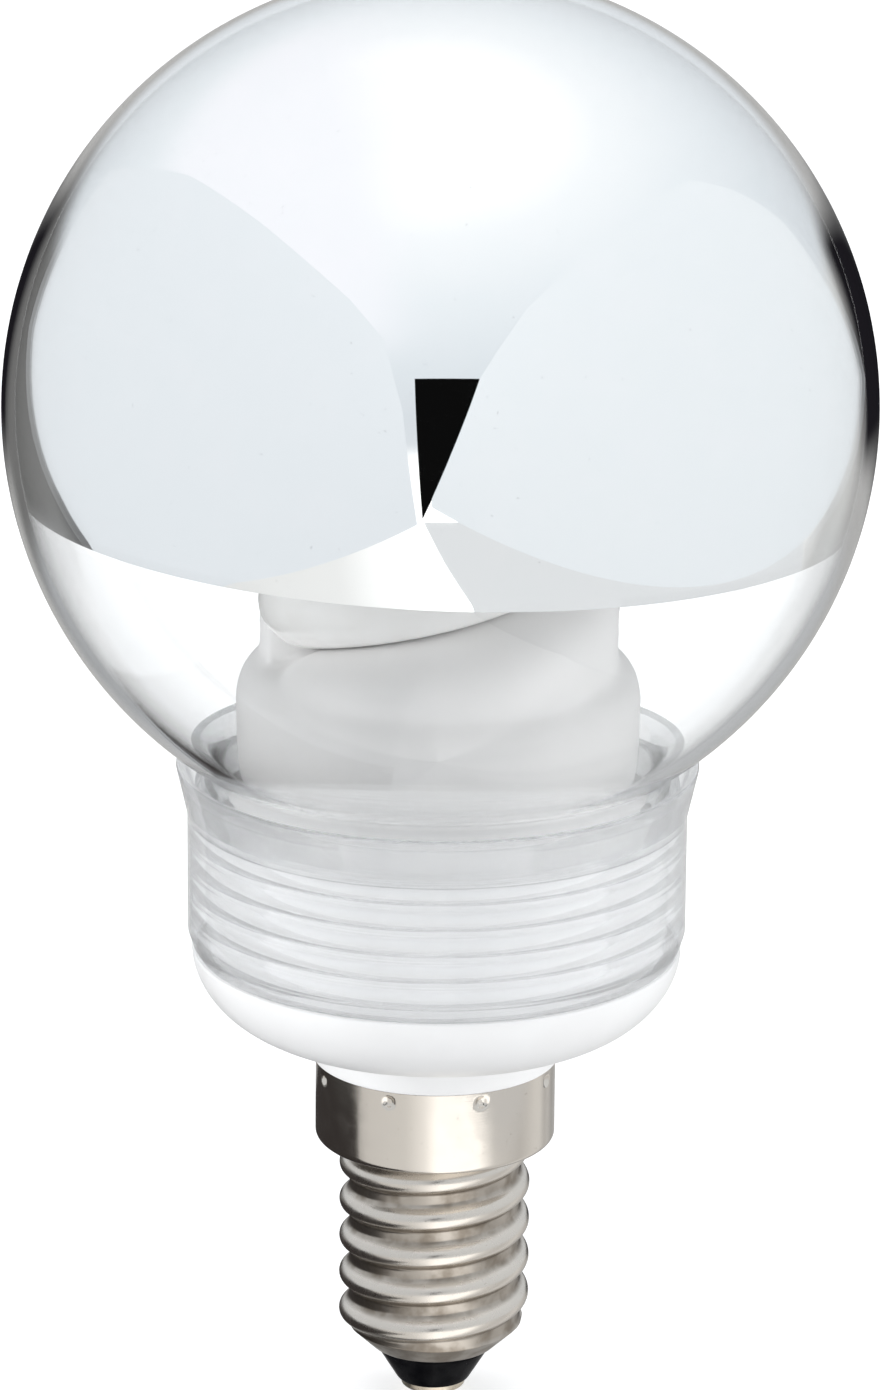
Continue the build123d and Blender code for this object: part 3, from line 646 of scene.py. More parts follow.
@dataclass(frozen=True)
class NickelFinish:
    """Nickel plate on rolled brass, bright on the crests and dulled in the hollows.

    Attributes:
        name: Name of the material.
        bright: Colour where the plate is rubbed.
        dull: Colour in the hollows.
        hollow: Radius at which the dulling is full, in millimetres.
        crest: Radius at which it ends.
        top: Height above which the skirt is bright all over.
        fade: Distance over which it gets bright.
        least: Share of the dulling in its lightest patches.
        shine: Roughness at its smoothest and at its roughest.
        worn: Roughness that the dulling adds.
        rolled: Roughness that the rolled part has more than the skirt.
    """

    name: str = "nickel_plate"
    bright: Colour = (0.655, 0.615, 0.565)
    dull: Colour = (0.25, 0.215, 0.178)
    hollow: float = 6.12
    crest: float = 6.5
    top: float = 19.9
    fade: float = 0.4
    least: float = 0.55
    shine: Point = (0.13, 0.2)
    worn: float = 0.08
    rolled: float = 0.11

    def material(self) -> bpy.types.Material:
        """Builds the material.

        Returns:
            The finished material.
        """
        recipe = Recipe(self.name)
        parts = recipe.node("ShaderNodeSeparateXYZ", {0: recipe.place})
        squares = [recipe.sum("MULTIPLY", parts.outputs[k], parts.outputs[k]) for k in (0, 1)]
        radius = recipe.sum("SQRT", recipe.sum("ADD", *squares))
        raised = recipe.ramp(radius, self.hollow * MM, self.crest * MM)
        skirt = recipe.ramp(parts.outputs[2], (self.top - self.fade) * MM, self.top * MM)
        open_metal = recipe.sum("MAXIMUM", raised, skirt)
        clouds = recipe.ramp(recipe.noise(1.6, 4.0), 0.35, 0.7)
        patches = recipe.ramp(clouds, 0.0, 1.0, self.least, 1.0, smooth=False)
        dulled = recipe.sum("MULTIPLY", recipe.sum("SUBTRACT", 1.0, open_metal), patches)
        rolled = recipe.sum("MULTIPLY", recipe.sum("SUBTRACT", 1.0, skirt), self.rolled)
        worn = recipe.sum("ADD", recipe.sum("MULTIPLY", dulled, self.worn), rolled)
        lines = recipe.noise(0.12, 2.0, recipe.squeezed((0.03, 0.03, 1.0)))
        specks = recipe.ramp(recipe.noise(0.25, 3.0), 0.66, 0.76)
        metal = recipe.mix(dulled, self.bright, self.dull)
        inputs = {
            "Base Color": recipe.mix(recipe.sum("MULTIPLY", specks, 0.25), metal, self.dull),
            "Metallic": 1.0,
            "Roughness": recipe.sum("ADD", recipe.ramp(clouds, 0.0, 1.0, *self.shine), worn),
            "Normal": recipe.relief(lines, 0.002, recipe.relief(recipe.noise(2.6, 1.0), 0.012)),
        }
        return recipe.done(recipe.node("ShaderNodeBsdfPrincipled", inputs).outputs[0])


WHITE_PLASTIC = SolidFinish(
    "white_plastic", (0.81, 0.81, 0.808), (0.79, 0.788, 0.785), Grain.CLOUD, 5.0, (0.3, 0.4), 0.006
)
# Painted light: a lighter copy of the cup's white plastic. The barrel gets less light inside the
# globe than the cup gets outside it, and this copy makes up for that.
LIGHTENED_BARREL_PLASTIC = SolidFinish(
    "barrel_plastic_lightened", (0.90, 0.89, 0.887), (0.88, 0.87, 0.866), Grain.CLOUD, 6.0, (0.42, 0.52),
    0.006,
)
PHOSPHOR = SolidFinish(
    "phosphor_glass", (0.90, 0.895, 0.885), (0.87, 0.862, 0.848), Grain.CLOUD, 2.2, (0.35, 0.5),
    0.004, coat=0.8,
)
CLEAR_GLASS = ClearFinish(
    "clear_glass", (0.988, 0.994, 0.994), 1.5, (0.0, 0.004), 9.0, 0.003, (1.0, 1.0, 0.4)
)
CLEAR_PLASTIC = ClearFinish(
    "clear_plastic", (0.985, 0.988, 0.992), 1.4, (0.01, 0.05), 5.0, 0.01, (0.35, 0.35, 1.0),
    straight=0.34, milk=0.12,
)
SILICONE = ClearFinish(
    "clear_silicone", (0.985, 0.985, 0.985), 1.36, (0.02, 0.08), 2.5, 0.01, straight=0.4, milk=0.15
)
BLACK_GLASS = SolidFinish(
    "black_glass", (0.003, 0.003, 0.004), (0.009, 0.009, 0.01), Grain.CLOUD, 1.4, (0.08, 0.2), 0.01,
    gloss=0.015,
)
SOLDER = SolidFinish(
    "solder", (0.60, 0.60, 0.62), (0.46, 0.46, 0.48), Grain.CLOUD, 0.5, (0.24, 0.4), 0.02, metal=1.0
)
CONTACT_PLATE = SolidFinish(
    "contact_plate", (0.66, 0.60, 0.50), (0.52, 0.45, 0.36), Grain.CLOUD, 0.8, (0.25, 0.4), 0.008,
    metal=1.0,
)

BALLAST_FINISHES: dict[str, SolidFinish] = {
    "tube_leads": SolidFinish(
        "tinned_wire", (0.66, 0.66, 0.66), (0.52, 0.51, 0.5), Grain.CLOUD, 0.4, (0.25, 0.4), 0.006,
        metal=1.0,
    ),
    "wrap_pins": SolidFinish(
        "tinned_pins", (0.64, 0.63, 0.6), (0.5, 0.48, 0.44), Grain.CLOUD, 0.5, (0.25, 0.4), 0.006,
        metal=1.0,
    ),
    "circuit_board": SolidFinish(
        "board_laminate", (0.42, 0.31, 0.15), (0.53, 0.42, 0.24), Grain.FIBRE, 0.5, (0.4, 0.55),
        0.01,
    ),
    "solder_joints": SOLDER,
    "side_solder": SOLDER,
    "electrolytic_capacitor": SolidFinish(
        "black_sleeve", (0.02, 0.02, 0.024), (0.045, 0.045, 0.05), Grain.CLOUD, 1.6, (0.25, 0.38),
        0.01,
    ),
    "choke_core": SolidFinish(
        "ferrite", (0.045, 0.043, 0.045), (0.085, 0.08, 0.08), Grain.SPECKLE, 0.3, (0.55, 0.7),
        0.012,
    ),
    "choke_bobbin": SolidFinish(
        "bobbin_plastic", (0.03, 0.028, 0.026), (0.05, 0.045, 0.04), Grain.CLOUD, 1.2, (0.35, 0.5),
        0.008,
    ),
    "choke_winding": SolidFinish(
        "copper_wire", (0.72, 0.31, 0.13), (0.38, 0.13, 0.05), Grain.TURNS, 0.24, (0.2, 0.32), 0.06,
        metal=1.0, coat=0.5,
    ),
    "toroid_core": SolidFinish(
        "green_ferrite", (0.03, 0.2, 0.09), (0.05, 0.26, 0.12), Grain.SPECKLE, 0.5, (0.35, 0.45),
        0.008,
    ),
    "toroid_winding": SolidFinish(
        "wound_copper", (0.7, 0.3, 0.13), (0.5, 0.19, 0.08), Grain.CLOUD, 0.4, (0.2, 0.3), 0.01,
        metal=1.0, coat=0.5,
    ),
    "transistors": SolidFinish(
        "transistor_resin", (0.022, 0.022, 0.023), (0.04, 0.04, 0.042), Grain.SPECKLE, 0.2,
        (0.45, 0.6), 0.008,
    ),
    "resonant_capacitor": SolidFinish(
        "red_film", (0.42, 0.05, 0.025), (0.36, 0.04, 0.02), Grain.CLOUD, 1.5, (0.12, 0.22), 0.02,
        coat=0.6,
    ),
    "blocking_capacitor": SolidFinish(
        "brown_film", (0.36, 0.11, 0.03), (0.3, 0.08, 0.02), Grain.CLOUD, 1.5, (0.12, 0.22), 0.02,
        coat=0.6,
    ),
    "rectifier_diodes": SolidFinish(
        "diode_resin", (0.018, 0.018, 0.019), (0.05, 0.05, 0.052), Grain.SPECKLE, 0.22, (0.4, 0.55),
        0.006,
    ),
    "resistors": SolidFinish(
        "resistor_body", (0.62, 0.5, 0.34), (0.32, 0.1, 0.05), Grain.BANDS, 0.9, (0.3, 0.42), 0.004
    ),
    "diac": SolidFinish(
        "diode_glass", (0.35, 0.08, 0.03), (0.5, 0.2, 0.1), Grain.CLOUD, 0.6, (0.05, 0.12), 0.006,
        coat=1.0,
    ),
    "fusible_resistor": SolidFinish(
        "fusible_body", (0.1, 0.24, 0.16), (0.14, 0.3, 0.2), Grain.CLOUD, 0.7, (0.5, 0.65), 0.02
    ),
    "live_wire": SolidFinish(
        "red_insulation", (0.5, 0.03, 0.025), (0.42, 0.02, 0.02), Grain.CLOUD, 1.2, (0.35, 0.48),
        0.008,
    ),
    "neutral_wire": SolidFinish(
        "blue_insulation", (0.03, 0.09, 0.36), (0.02, 0.07, 0.3), Grain.CLOUD, 1.2, (0.35, 0.48),
        0.008,
    ),
}


def dress(obj: bpy.types.Object, material: bpy.types.Material) -> None:
    """Gives an object one material.

    Args:
        obj: The object.
        material: The material that replaces what it has.
    """
    obj.data.materials.clear()
    obj.data.materials.append(material)


def settle(obj: bpy.types.Object, slot: str, *nodes: str) -> bpy.types.Object:
    """Lets a finished piece ride on the lamp in place of its CAD nodes.

    Args:
        obj: The finished piece.
        slot: Name of the record's material slot; not used.
        *nodes: The CAD nodes that it stands for.

    Returns:
        The piece.
    """
    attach(obj, "root")
    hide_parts(*nodes)
    LOG.info("%s: %d faces", obj.name, len(obj.data.polygons))
    return obj


# The lamp's own sub-assemblies


@dataclass
class SilveredGlobe:
    """The blown glass globe, with the silver film inside its crown.

    Attributes:
        radius: Outer radius of the globe.
        centre: Height of its centre.
        wall: Thickness of the glass.
        neck: Outer radius of the neck.
        bend: Radius of the bend between globe and neck.
        foot: Height where the neck ends.
        film: Thickness of the silver film.
        film_gap: Clearance between film and glass.
        film_edge: Height of the film's edge at the axis.
        film_tilt: Lean of that edge in degrees, down to the right.
        spans: Number of spans of the globe's outline, and of the film's.
    """

    radius: float = 30.4
    centre: float = 73.7
    wall: float = 0.9
    neck: float = 16.4
    bend: float = 1.6
    foot: float = 44.6
    film: float = 0.1
    film_gap: float = 0.1
    film_edge: float = 67.7
    film_tilt: float = 2.0
    spans: tuple[int, int] = (110, 100)

    def skin(self, inset: float) -> list[Point]:
        """Outline of one face of the glass, from the neck's end up to the pole.

        Args:
            inset: Distance inside the outer face.

        Returns:
            The outline's points.
        """
        sphere, neck, corner = self.radius - inset, self.neck - inset, self.bend + inset
        bend_z = self.centre - math.sqrt((sphere + corner) ** 2 - (neck + corner) ** 2)
        lean = math.degrees(math.atan2(self.centre - bend_z, neck + corner))
        points = spaced([(neck, self.foot), (neck, bend_z)], 0.5)
        points += arc((neck + corner, bend_z), corner, 180.0, 180.0 - lean, 12)[1:]
        points += arc((0.0, self.centre), sphere, -lean, 90.0, self.spans[0])[1:-1]
        return points + [(0.0, self.centre + sphere)]

    def build_glass(self) -> bpy.types.Object:
        """The clear globe, a closed wall with a rounded rim at its neck."""
        rim = arc((self.neck - self.wall / 2, self.foot), self.wall / 2, 180.0, 360.0, 8)[1:-1]
        outline = self.skin(0.0) + self.skin(self.wall)[::-1] + rim
        mesh = turned_mesh("clear_glass_globe", outline, GLOBE_SIDES)
        return as_object("clear_glass_globe", mesh)

    def build_film(self) -> bpy.types.Object:
        """The silver film: a thin cap of a sphere, cut off along a tilted edge."""
        outer = self.radius - self.wall - self.film_gap
        tilt = math.radians(self.film_tilt)
        drop = (self.film_edge - self.centre) * math.cos(tilt)
        lean = math.degrees(math.asin(drop / outer))
        front = arc((0.0, 0.0), outer, lean, 90.0, self.spans[1])[:-1] + [(0.0, outer)]
        share = 1 - self.film / outer
        outline = front + [(radius * share, height * share) for radius, height in front[::-1]]
        frame = Matrix.Translation((0, 0, self.centre * MM)) @ Matrix.Rotation(tilt, 4, "Y")
        return as_object("silver_film", turned_mesh("silver_film", outline, GLOBE_SIDES, frame))

    def build(self) -> None:
        """Builds and dresses both pieces."""
        glass = self.build_glass()
        dress(glass, CLEAR_GLASS.material())
        settle(glass, "clear_glass", "glass_globe")
        film = self.build_film()
        dress(film, SilverFinish().material())
        settle(film, "silver_film", "mirror_coating")


@dataclass
class ClearCollar:
    """The clear snap ring, and the silicone that holds the globe's neck in it.

    Attributes:
        bore: Radius of its bore.
        outside: Outer radius.
        foot: Height of its lower edge.
        crease: Height where the flared lip starts.
        lip: Outer radius of the lip.
        lip_top: Height of the lip.
        lip_wall: Thickness of the lip.
        seat: Radius of the neck's seat.
        seat_foot: Height where the seat starts.
        ribs: Heights of the grooves, from the top down.
        groove: Depth of a groove.
        groove_width: Width of a groove.
        chamfer: Width and height of the chamfer at its foot.
        bead_gap: Clearance round the silicone.
        bead_wall: Thickness of the silicone at its foot.
        bead_height: Height of the silicone.
        bead_reach: How far its top reaches over the lip.
    """

    bore: float = 16.05
    outside: float = 17.65
    foot: float = 34.5
    crease: float = 44.4
    lip: float = 18.5
    lip_top: float = 48.2
    lip_wall: float = 0.7
    seat: float = 16.65
    seat_foot: float = 44.4
    ribs: tuple[float, ...] = (43.55, 41.67, 39.79, 37.91, 36.03)
    groove: float = 0.35
    groove_width: float = 1.5
    chamfer: Point = (0.45, 1.35)
    bead_gap: float = 0.06
    bead_wall: float = 0.17
    bead_height: float = 2.15
    bead_reach: float = 0.48

    def outline(self) -> list[Point]:
        """Section of the ring, grooves included."""
        outer = rounded([
            (self.bore, self.foot, 0.12), (self.outside - self.chamfer[0], self.foot, 0.18),
            (self.outside, self.foot + self.chamfer[1], 0.3), (self.outside, self.crease, 0.4),
            (self.lip, self.lip_top, 0.2), (self.lip - self.lip_wall, self.lip_top - 0.25, 0.15),
            (self.seat, self.seat_foot + 0.5, 0.1), (self.seat, self.seat_foot, 0.0),
            (self.bore, self.seat_foot, 0.0),
        ])
        half = self.groove_width / 2
        middle = self.bore - (half**2 - self.groove**2) / (2 * self.groove)
        radius = self.bore + self.groove - middle
        reach = math.degrees(math.asin(half / radius))
        for height in self.ribs:
            outer += arc((middle, height), radius, reach, -reach, 10)
        return outer

    def build(self) -> None:
        """Builds and dresses the ring and the silicone."""
        ring_mesh = turned_mesh("clear_snap_ring", spaced(self.outline(), 0.6), RING_SIDES)
        ring = as_object("clear_snap_ring", ring_mesh, 50.0)
        dress(ring, CLEAR_PLASTIC.material())
        settle(ring, "clear_plastic", "clear_collar")
        foot = self.seat_foot + 0.05
        top, outside = foot + self.bead_height, self.seat - self.bead_gap
        inside = outside - self.bead_wall
        bead = rounded([
            (inside, foot, 0.05), (outside, foot, 0.05), (outside, foot + 0.45, 0.0),
            (self.seat + self.bead_reach, top, 0.1), (inside, top + 0.22, 0.08),
        ])
        bead_mesh = turned_mesh("silicone_bead", spaced(bead, 0.25), RING_SIDES)
        silicone = as_object("silicone_bead", bead_mesh)
        dress(silicone, SILICONE.material())
        settle(silicone, "clear_silicone", "globe_adhesive")


@dataclass
class WhiteHousing:
    """The white cup with its snap ribs, and the barrel that carries the tube.

    Attributes:
        outside: Radius of the bowl at its top.
        shoulder: Height of that edge.
        rim: Outer radius of the ribbed rim.
        rim_top: Height of the rim.
        bore: Radius of the rim's bore.
        ledge: Height of the ledge for the board.
        lower_bore: Radius of the bore under the ledge.
        floor: Radius where the bowl turns into the neck.
        floor_z: Height there.
        ring: Radius of the ring above the cap.
        ring_foot: Height of that ring's lower face.
        neck: Outer radius of the neck inside the cap.
        neck_bore: Radius of its bore.
        neck_foot: Height where it ends.
        rib_count: Number of snap ribs.
        rib_pitch: Distance between them.
        rib_top: Height of the highest one.
        rib_height: How far a rib stands out.
        rib_width: Width of a rib.
        bottom: Thickness of the bowl's bottom.
        web: Thickness of the ledge's underside.
        hood_wall: Thickness of the hood over a limb's foot.
        hood_turn: How far round the lamp a hood follows its limb, in degrees.
        hood_drops: How far below the limb each sleeve lies that fills the ramp.
        hood_grain: Size of the grid that fuses the hoods with the barrel.
    """

    outside: float = 17.35
    shoulder: float = 34.5
    rim: float = 15.95
    rim_top: float = 44.3
    bore: float = 14.4
    ledge: float = 37.5
    lower_bore: float = 13.2
    floor: float = 10.5
    floor_z: float = 28.45
    ring: float = 8.75
    ring_foot: float = 26.04
    neck: float = 8.25
    neck_bore: float = 7.2
    neck_foot: float = 21.0
    rib_count: int = 5
    rib_pitch: float = 1.88
    rib_top: float = 43.55
    rib_height: float = 0.3
    rib_width: float = 1.32
    bottom: float = 1.3
    web: float = 2.5
    hood_wall: float = 0.85
    hood_turn: float = 125.0
    hood_drops: tuple[float, ...] = (0.0, 1.5, 3.0, 4.5, 6.0)
    hood_grain: float = 0.34

    def outline(self) -> list[Point]:
        """Section of the cup, without its ribs."""
        lower = rounded([
            (self.neck_bore, self.neck_foot, 0.1), (self.neck, self.neck_foot, 0.1),
            (self.neck, self.ring_foot, 0.0), (self.ring, self.ring_foot, 0.12),
            (self.ring, self.floor_z - 0.9, 0.0),
        ])
        fillet = bend([
            (self.ring, self.floor_z - 0.9), (self.ring, self.floor_z - 0.3),
            (self.floor - 0.9, self.floor_z - 0.1), (self.floor, self.floor_z),
        ], 8)[1:]
        bowl = bend([
            (self.floor, self.floor_z), (self.floor + 5.2, self.floor_z + 0.6),
            (self.outside, self.shoulder - 1.9), (self.outside, self.shoulder - 0.25),
        ], 30)[1:]
        upper = rounded([
            (self.outside, self.shoulder - 0.25, 0.0), (self.outside, self.shoulder, 0.2),
            (self.rim, self.shoulder, 0.0), (self.rim, self.rim_top, 0.15),
            (self.bore, self.rim_top, 0.15), (self.bore, self.ledge, 0.0),
            (self.lower_bore, self.ledge, 0.0), (self.lower_bore, self.floor_z + self.web, 0.4),
            (self.floor, self.floor_z + self.bottom, 0.3),
            (self.neck_bore, self.floor_z + self.bottom, 0.3),
            (self.neck_bore, self.neck_foot, 0.0),
        ])[1:-1]
        return lower + fillet + bowl + upper

    def build_ribs(self, material: bpy.types.Material) -> bpy.types.Object:
        """The snap ribs, one ring repeated up the rim by geometry nodes.

        Args:
            material: Finish of the ribs.

        Returns:
            The ribs.
        """
        ribs = as_object("snap_ribs", bpy.data.meshes.new("snap_ribs"))
        form = FormTree("snap_rib_rings")
        radius = form.size("Rim radius", self.rim * MM)
        height = form.size("Rib height", self.rib_height * MM)
        width = form.size("Rib width", self.rib_width * MM)
        count = form.size("Rib count", self.rib_count)
        pitch = form.size("Rib pitch", self.rib_pitch * MM)
        top = form.size("Top rib height", self.rib_top * MM)
        circle = form.node(
            "GeometryNodeCurvePrimitiveCircle", {"Resolution": RING_SIDES, "Radius": radius}
        )
        profile = form.node("GeometryNodeCurvePrimitiveCircle", {"Resolution": 20, "Radius": 1.0})
        half = form.sum("MULTIPLY", width, 0.5)
        scale = form.node("ShaderNodeCombineXYZ", {0: height, 1: half, 2: 1.0}).outputs[0]
        oval = form.node(
            "GeometryNodeTransform", {"Geometry": profile.outputs[0], "Scale": scale}
        ).outputs[0]
        ring = form.node(
            "GeometryNodeCurveToMesh", {"Curve": circle.outputs[0], "Profile Curve": oval}
        ).outputs[0]
        step = form.node("ShaderNodeCombineXYZ", {2: form.sum("MULTIPLY", pitch, -1.0)}).outputs[0]
        start = form.node("ShaderNodeCombineXYZ", {2: top}).outputs[0]
        line = form.node(
            "GeometryNodeMeshLine", {"Count": count, "Start Location": start, "Offset": step},
            mode="OFFSET",
        ).outputs[0]
        many = form.node("GeometryNodeInstanceOnPoints", {"Points": line, "Instance": ring})
        form.run(ribs, many.outputs[0], material)
        return ribs

    def build_barrel(self, cover: bpy.types.Object, tube: "SpiralTube") -> bpy.types.Object:
        """The barrel, with a soft hood moulded over the foot of each limb of the tube.

        Args:
            cover: The CAD node of the barrel.
            tube: The tube whose limbs come out of it.

        Returns:
            The barrel.
        """
        shape = bmesh.new()
        shape.from_mesh(cover.data)
        for drop in self.hood_drops:
            for half in (0.0, 180.0):
                hood = tube.hood_mesh(self.hood_wall, self.hood_turn, drop, half)
                shape.from_mesh(hood)
                bpy.data.meshes.remove(hood)
        bmesh.ops.remove_doubles(shape, verts=shape.verts, dist=1e-7)
        mesh = bpy.data.meshes.new("moulded_barrel")
        shape.to_mesh(mesh)
        shape.free()
        barrel = as_object("moulded_barrel", mesh)
        fused = barrel.modifiers.new("fused", "REMESH")
        fused.mode, fused.voxel_size = "VOXEL", self.hood_grain * MM
        soft = barrel.modifiers.new("soft", "SMOOTH")
        soft.factor, soft.iterations = 0.5, 8
        graph = bpy.context.evaluated_depsgraph_get()
        smooth = bpy.data.meshes.new_from_object(
            barrel.evaluated_get(graph), preserve_all_data_layers=True, depsgraph=graph
        )
        barrel.modifiers.clear()
        barrel.data = smooth
        bpy.data.meshes.remove(mesh)
        smooth.shade_smooth()
        return barrel

    def build(self, nodes: dict[str, bpy.types.Object]) -> None:
        """Builds and dresses the cup and the barrel.

        Args:
            nodes: The CAD nodes by name.
        """
        white = WHITE_PLASTIC.material()
        ribs = self.build_ribs(white)
        cup_mesh = turned_mesh("cup_form", spaced(self.outline(), 0.8), RING_SIDES)
        cup = as_object("white_cup", joined("white_cup", [cup_mesh, ribs.data.copy()]), 40.0)
        bpy.data.objects.remove(ribs)
        dress(cup, white)
        settle(cup, "white_plastic", "lower_cup")
        barrel = self.build_barrel(nodes["tube_cover"], SpiralTube())
        # Painted light: the barrel is dressed in the lighter copy of the white plastic.
        dress(barrel, LIGHTENED_BARREL_PLASTIC.material())
        settle(barrel, "white_plastic", "tube_cover")


@dataclass
class SpiralTube:
    """The discharge tube: two limbs wound up from the barrel and joined at a cold tip.

    Attributes:
        bore: Outer radius of the tube.
        winding: Radius of the spiral.
        pitch: Rise of a limb in one turn.
        turns: Turns of each limb.
        start: Height where the turns start.
        angle: Direction in which the first limb starts, in degrees.
        leg_bend: Radius of the bend from leg to turns.
        leg_foot: Height where a leg ends.
        tip: Radius of the cold tip.
    """

    bore: float = 3.4
    winding: float = 9.3
    pitch: float = 16.0
    turns: int = 2
    start: float = 54.9
    angle: float = -110.0
    leg_bend: float = 4.5
    leg_foot: float = 47.0
    tip: float = 3.8

    def limb(self) -> list[Place]:
        """Centre line of one limb, from its foot to the axis, before it is turned into place."""
        slope = math.atan(self.pitch / (2 * math.pi * self.winding))
        middle_y = self.leg_bend * math.sin(slope)
        middle_z = self.start - self.leg_bend * math.cos(slope)
        leg_y = middle_y - self.leg_bend
        points = [
            (self.winding, leg_y, self.leg_foot + (middle_z - self.leg_foot) * k / 4)
            for k in range(5)
        ]
        for k in range(1, 9):
            a = math.pi - (math.pi / 2 - slope) * k / 8
            along, up = self.leg_bend * math.cos(a), self.leg_bend * math.sin(a)
            points.append((self.winding, middle_y + along, middle_z + up))
        spans = 40 * self.turns
        for k in range(1, spans + 1):
            a = 2 * math.pi * self.turns * k / spans
            rise = self.pitch * self.turns * k / spans
            spot = (self.winding * math.cos(a), self.winding * math.sin(a), self.start + rise)
            points.append(spot)
        top, half = self.start + self.pitch * self.turns, self.winding / 2
        rise = math.pi * half * math.tan(slope)
        for k in range(1, 25):
            a = math.pi * k / 24
            points.append((half + half * math.cos(a), half * math.sin(a), top + rise * k / 24))
        return points

    def hood_mesh(self, wall: float, reach: float, drop: float, half: float) -> bpy.types.Mesh:
        """A closed sleeve over the foot of one limb, which thins out along the limb.

        It starts a little before the limb does, so that no end of it shows.

        Args:
            wall: Its thickness at the foot.
            reach: How far round the lamp it follows the limb, in degrees.
            drop: How far it lies below the limb.
            half: Turn about the axis: 0 for the first limb, 180 for the second.

        Returns:
            The sleeve.
        """
        spans, early, sunk, swell, fade = 40, 0.45, 0.4, 0.12, 0.35
        frame = Matrix.Rotation(math.radians(self.angle + half), 4, "Z")
        line = []
        for k in range(spans + 1):
            turn = -early * reach + (1 + early) * reach * k / spans
            aim = math.radians(turn)
            rise = self.start + self.pitch * turn / 360 - drop
            spot = Vector((self.winding * math.cos(aim), self.winding * math.sin(aim), rise))
            line.append(frame @ spot)
        shape = bmesh.new()
        rings = []
        for k, centre in enumerate(line):
            ahead = (line[min(k + 1, spans)] - line[max(k - 1, 0)]).normalized()
            up = ahead.cross(Vector((centre.x, centre.y, 0))).normalized()
            aside = up.cross(ahead)
            left = (spans - k) / spans
            share = min(1.0, left / fade, (1 - left) / swell)
            radius = self.bore - sunk + (wall + sunk) * share
            rings.append([
                shape.verts.new((centre + (aside * math.cos(a) + up * math.sin(a)) * radius) * MM)
                for a in (2 * math.pi * j / HOOD_SIDES for j in range(HOOD_SIDES))
            ])
        for lower, upper in zip(rings, rings[1:]):
            for j in range(HOOD_SIDES):
                after = (j + 1) % HOOD_SIDES
                shape.faces.new((lower[j], lower[after], upper[after], upper[j]))
        shape.faces.new(rings[0])
        shape.faces.new(rings[-1])
        bmesh.ops.recalc_face_normals(shape, faces=shape.faces)
        mesh = bpy.data.meshes.new("limb_hood")
        shape.to_mesh(mesh)
        shape.free()
        return mesh

    def path(self) -> bpy.types.Mesh:
        """Centre line of the whole tube as a chain of edges."""
        turn = Matrix.Rotation(math.radians(self.angle), 4, "Z")
        first = [turn @ Vector(p) for p in self.limb()]
        other = Matrix.Rotation(math.pi, 4, "Z")
        chain = first + [other @ p for p in reversed(first[:-1])]
        mesh = bpy.data.meshes.new("tube_path")
        mesh.from_pydata([p * MM for p in chain], [(k, k + 1) for k in range(len(chain) - 1)], [])
        return mesh

    def build(self) -> None:
        """Sweeps the tube along its path by geometry nodes and dresses it."""
        tube = bpy.data.objects.new("spiral_discharge_tube", self.path())
        bpy.context.scene.collection.objects.link(tube)
        form = FormTree("swept_tube")
        radius = form.size("Tube radius", self.bore * MM)
        tip = form.size("Cold tip radius", self.tip * MM)
        sides = form.size("Sides", 40)
        spacing = form.size("Ring spacing", 0.55 * MM)
        line = form.node("GeometryNodeMeshToCurve", {"Mesh": form.source.outputs[0]})
        even = form.node(
            "GeometryNodeResampleCurve", {"Curve": line.outputs[0], "Length": spacing},
            mode="LENGTH",
        )
        circle = form.node(
            "GeometryNodeCurvePrimitiveCircle", {"Resolution": sides, "Radius": radius}
        )
        swept = form.node(
            "GeometryNodeCurveToMesh",
            {"Curve": even.outputs[0], "Profile Curve": circle.outputs[0], "Fill Caps": True},
        )
        ball = form.node("GeometryNodeMeshUVSphere", {"Segments": 40, "Rings": 24, "Radius": tip})
        rise = self.start + self.pitch * self.turns + self.pitch / 4
        lifted = form.node(
            "GeometryNodeTransform", {"Geometry": ball.outputs[0], "Translation": (0, 0, rise * MM)}
        )
        both = form.node("GeometryNodeJoinGeometry")
        for part in (lifted, swept):
            form.tree.links.new(part.outputs[0], both.inputs[0])
        smooth = form.node("GeometryNodeSetShadeSmooth", {"Geometry": both.outputs[0]})
        form.run(tube, smooth.outputs[0], PHOSPHOR.material())
        settle(tube, "phosphor_glass", "spiral_tube")


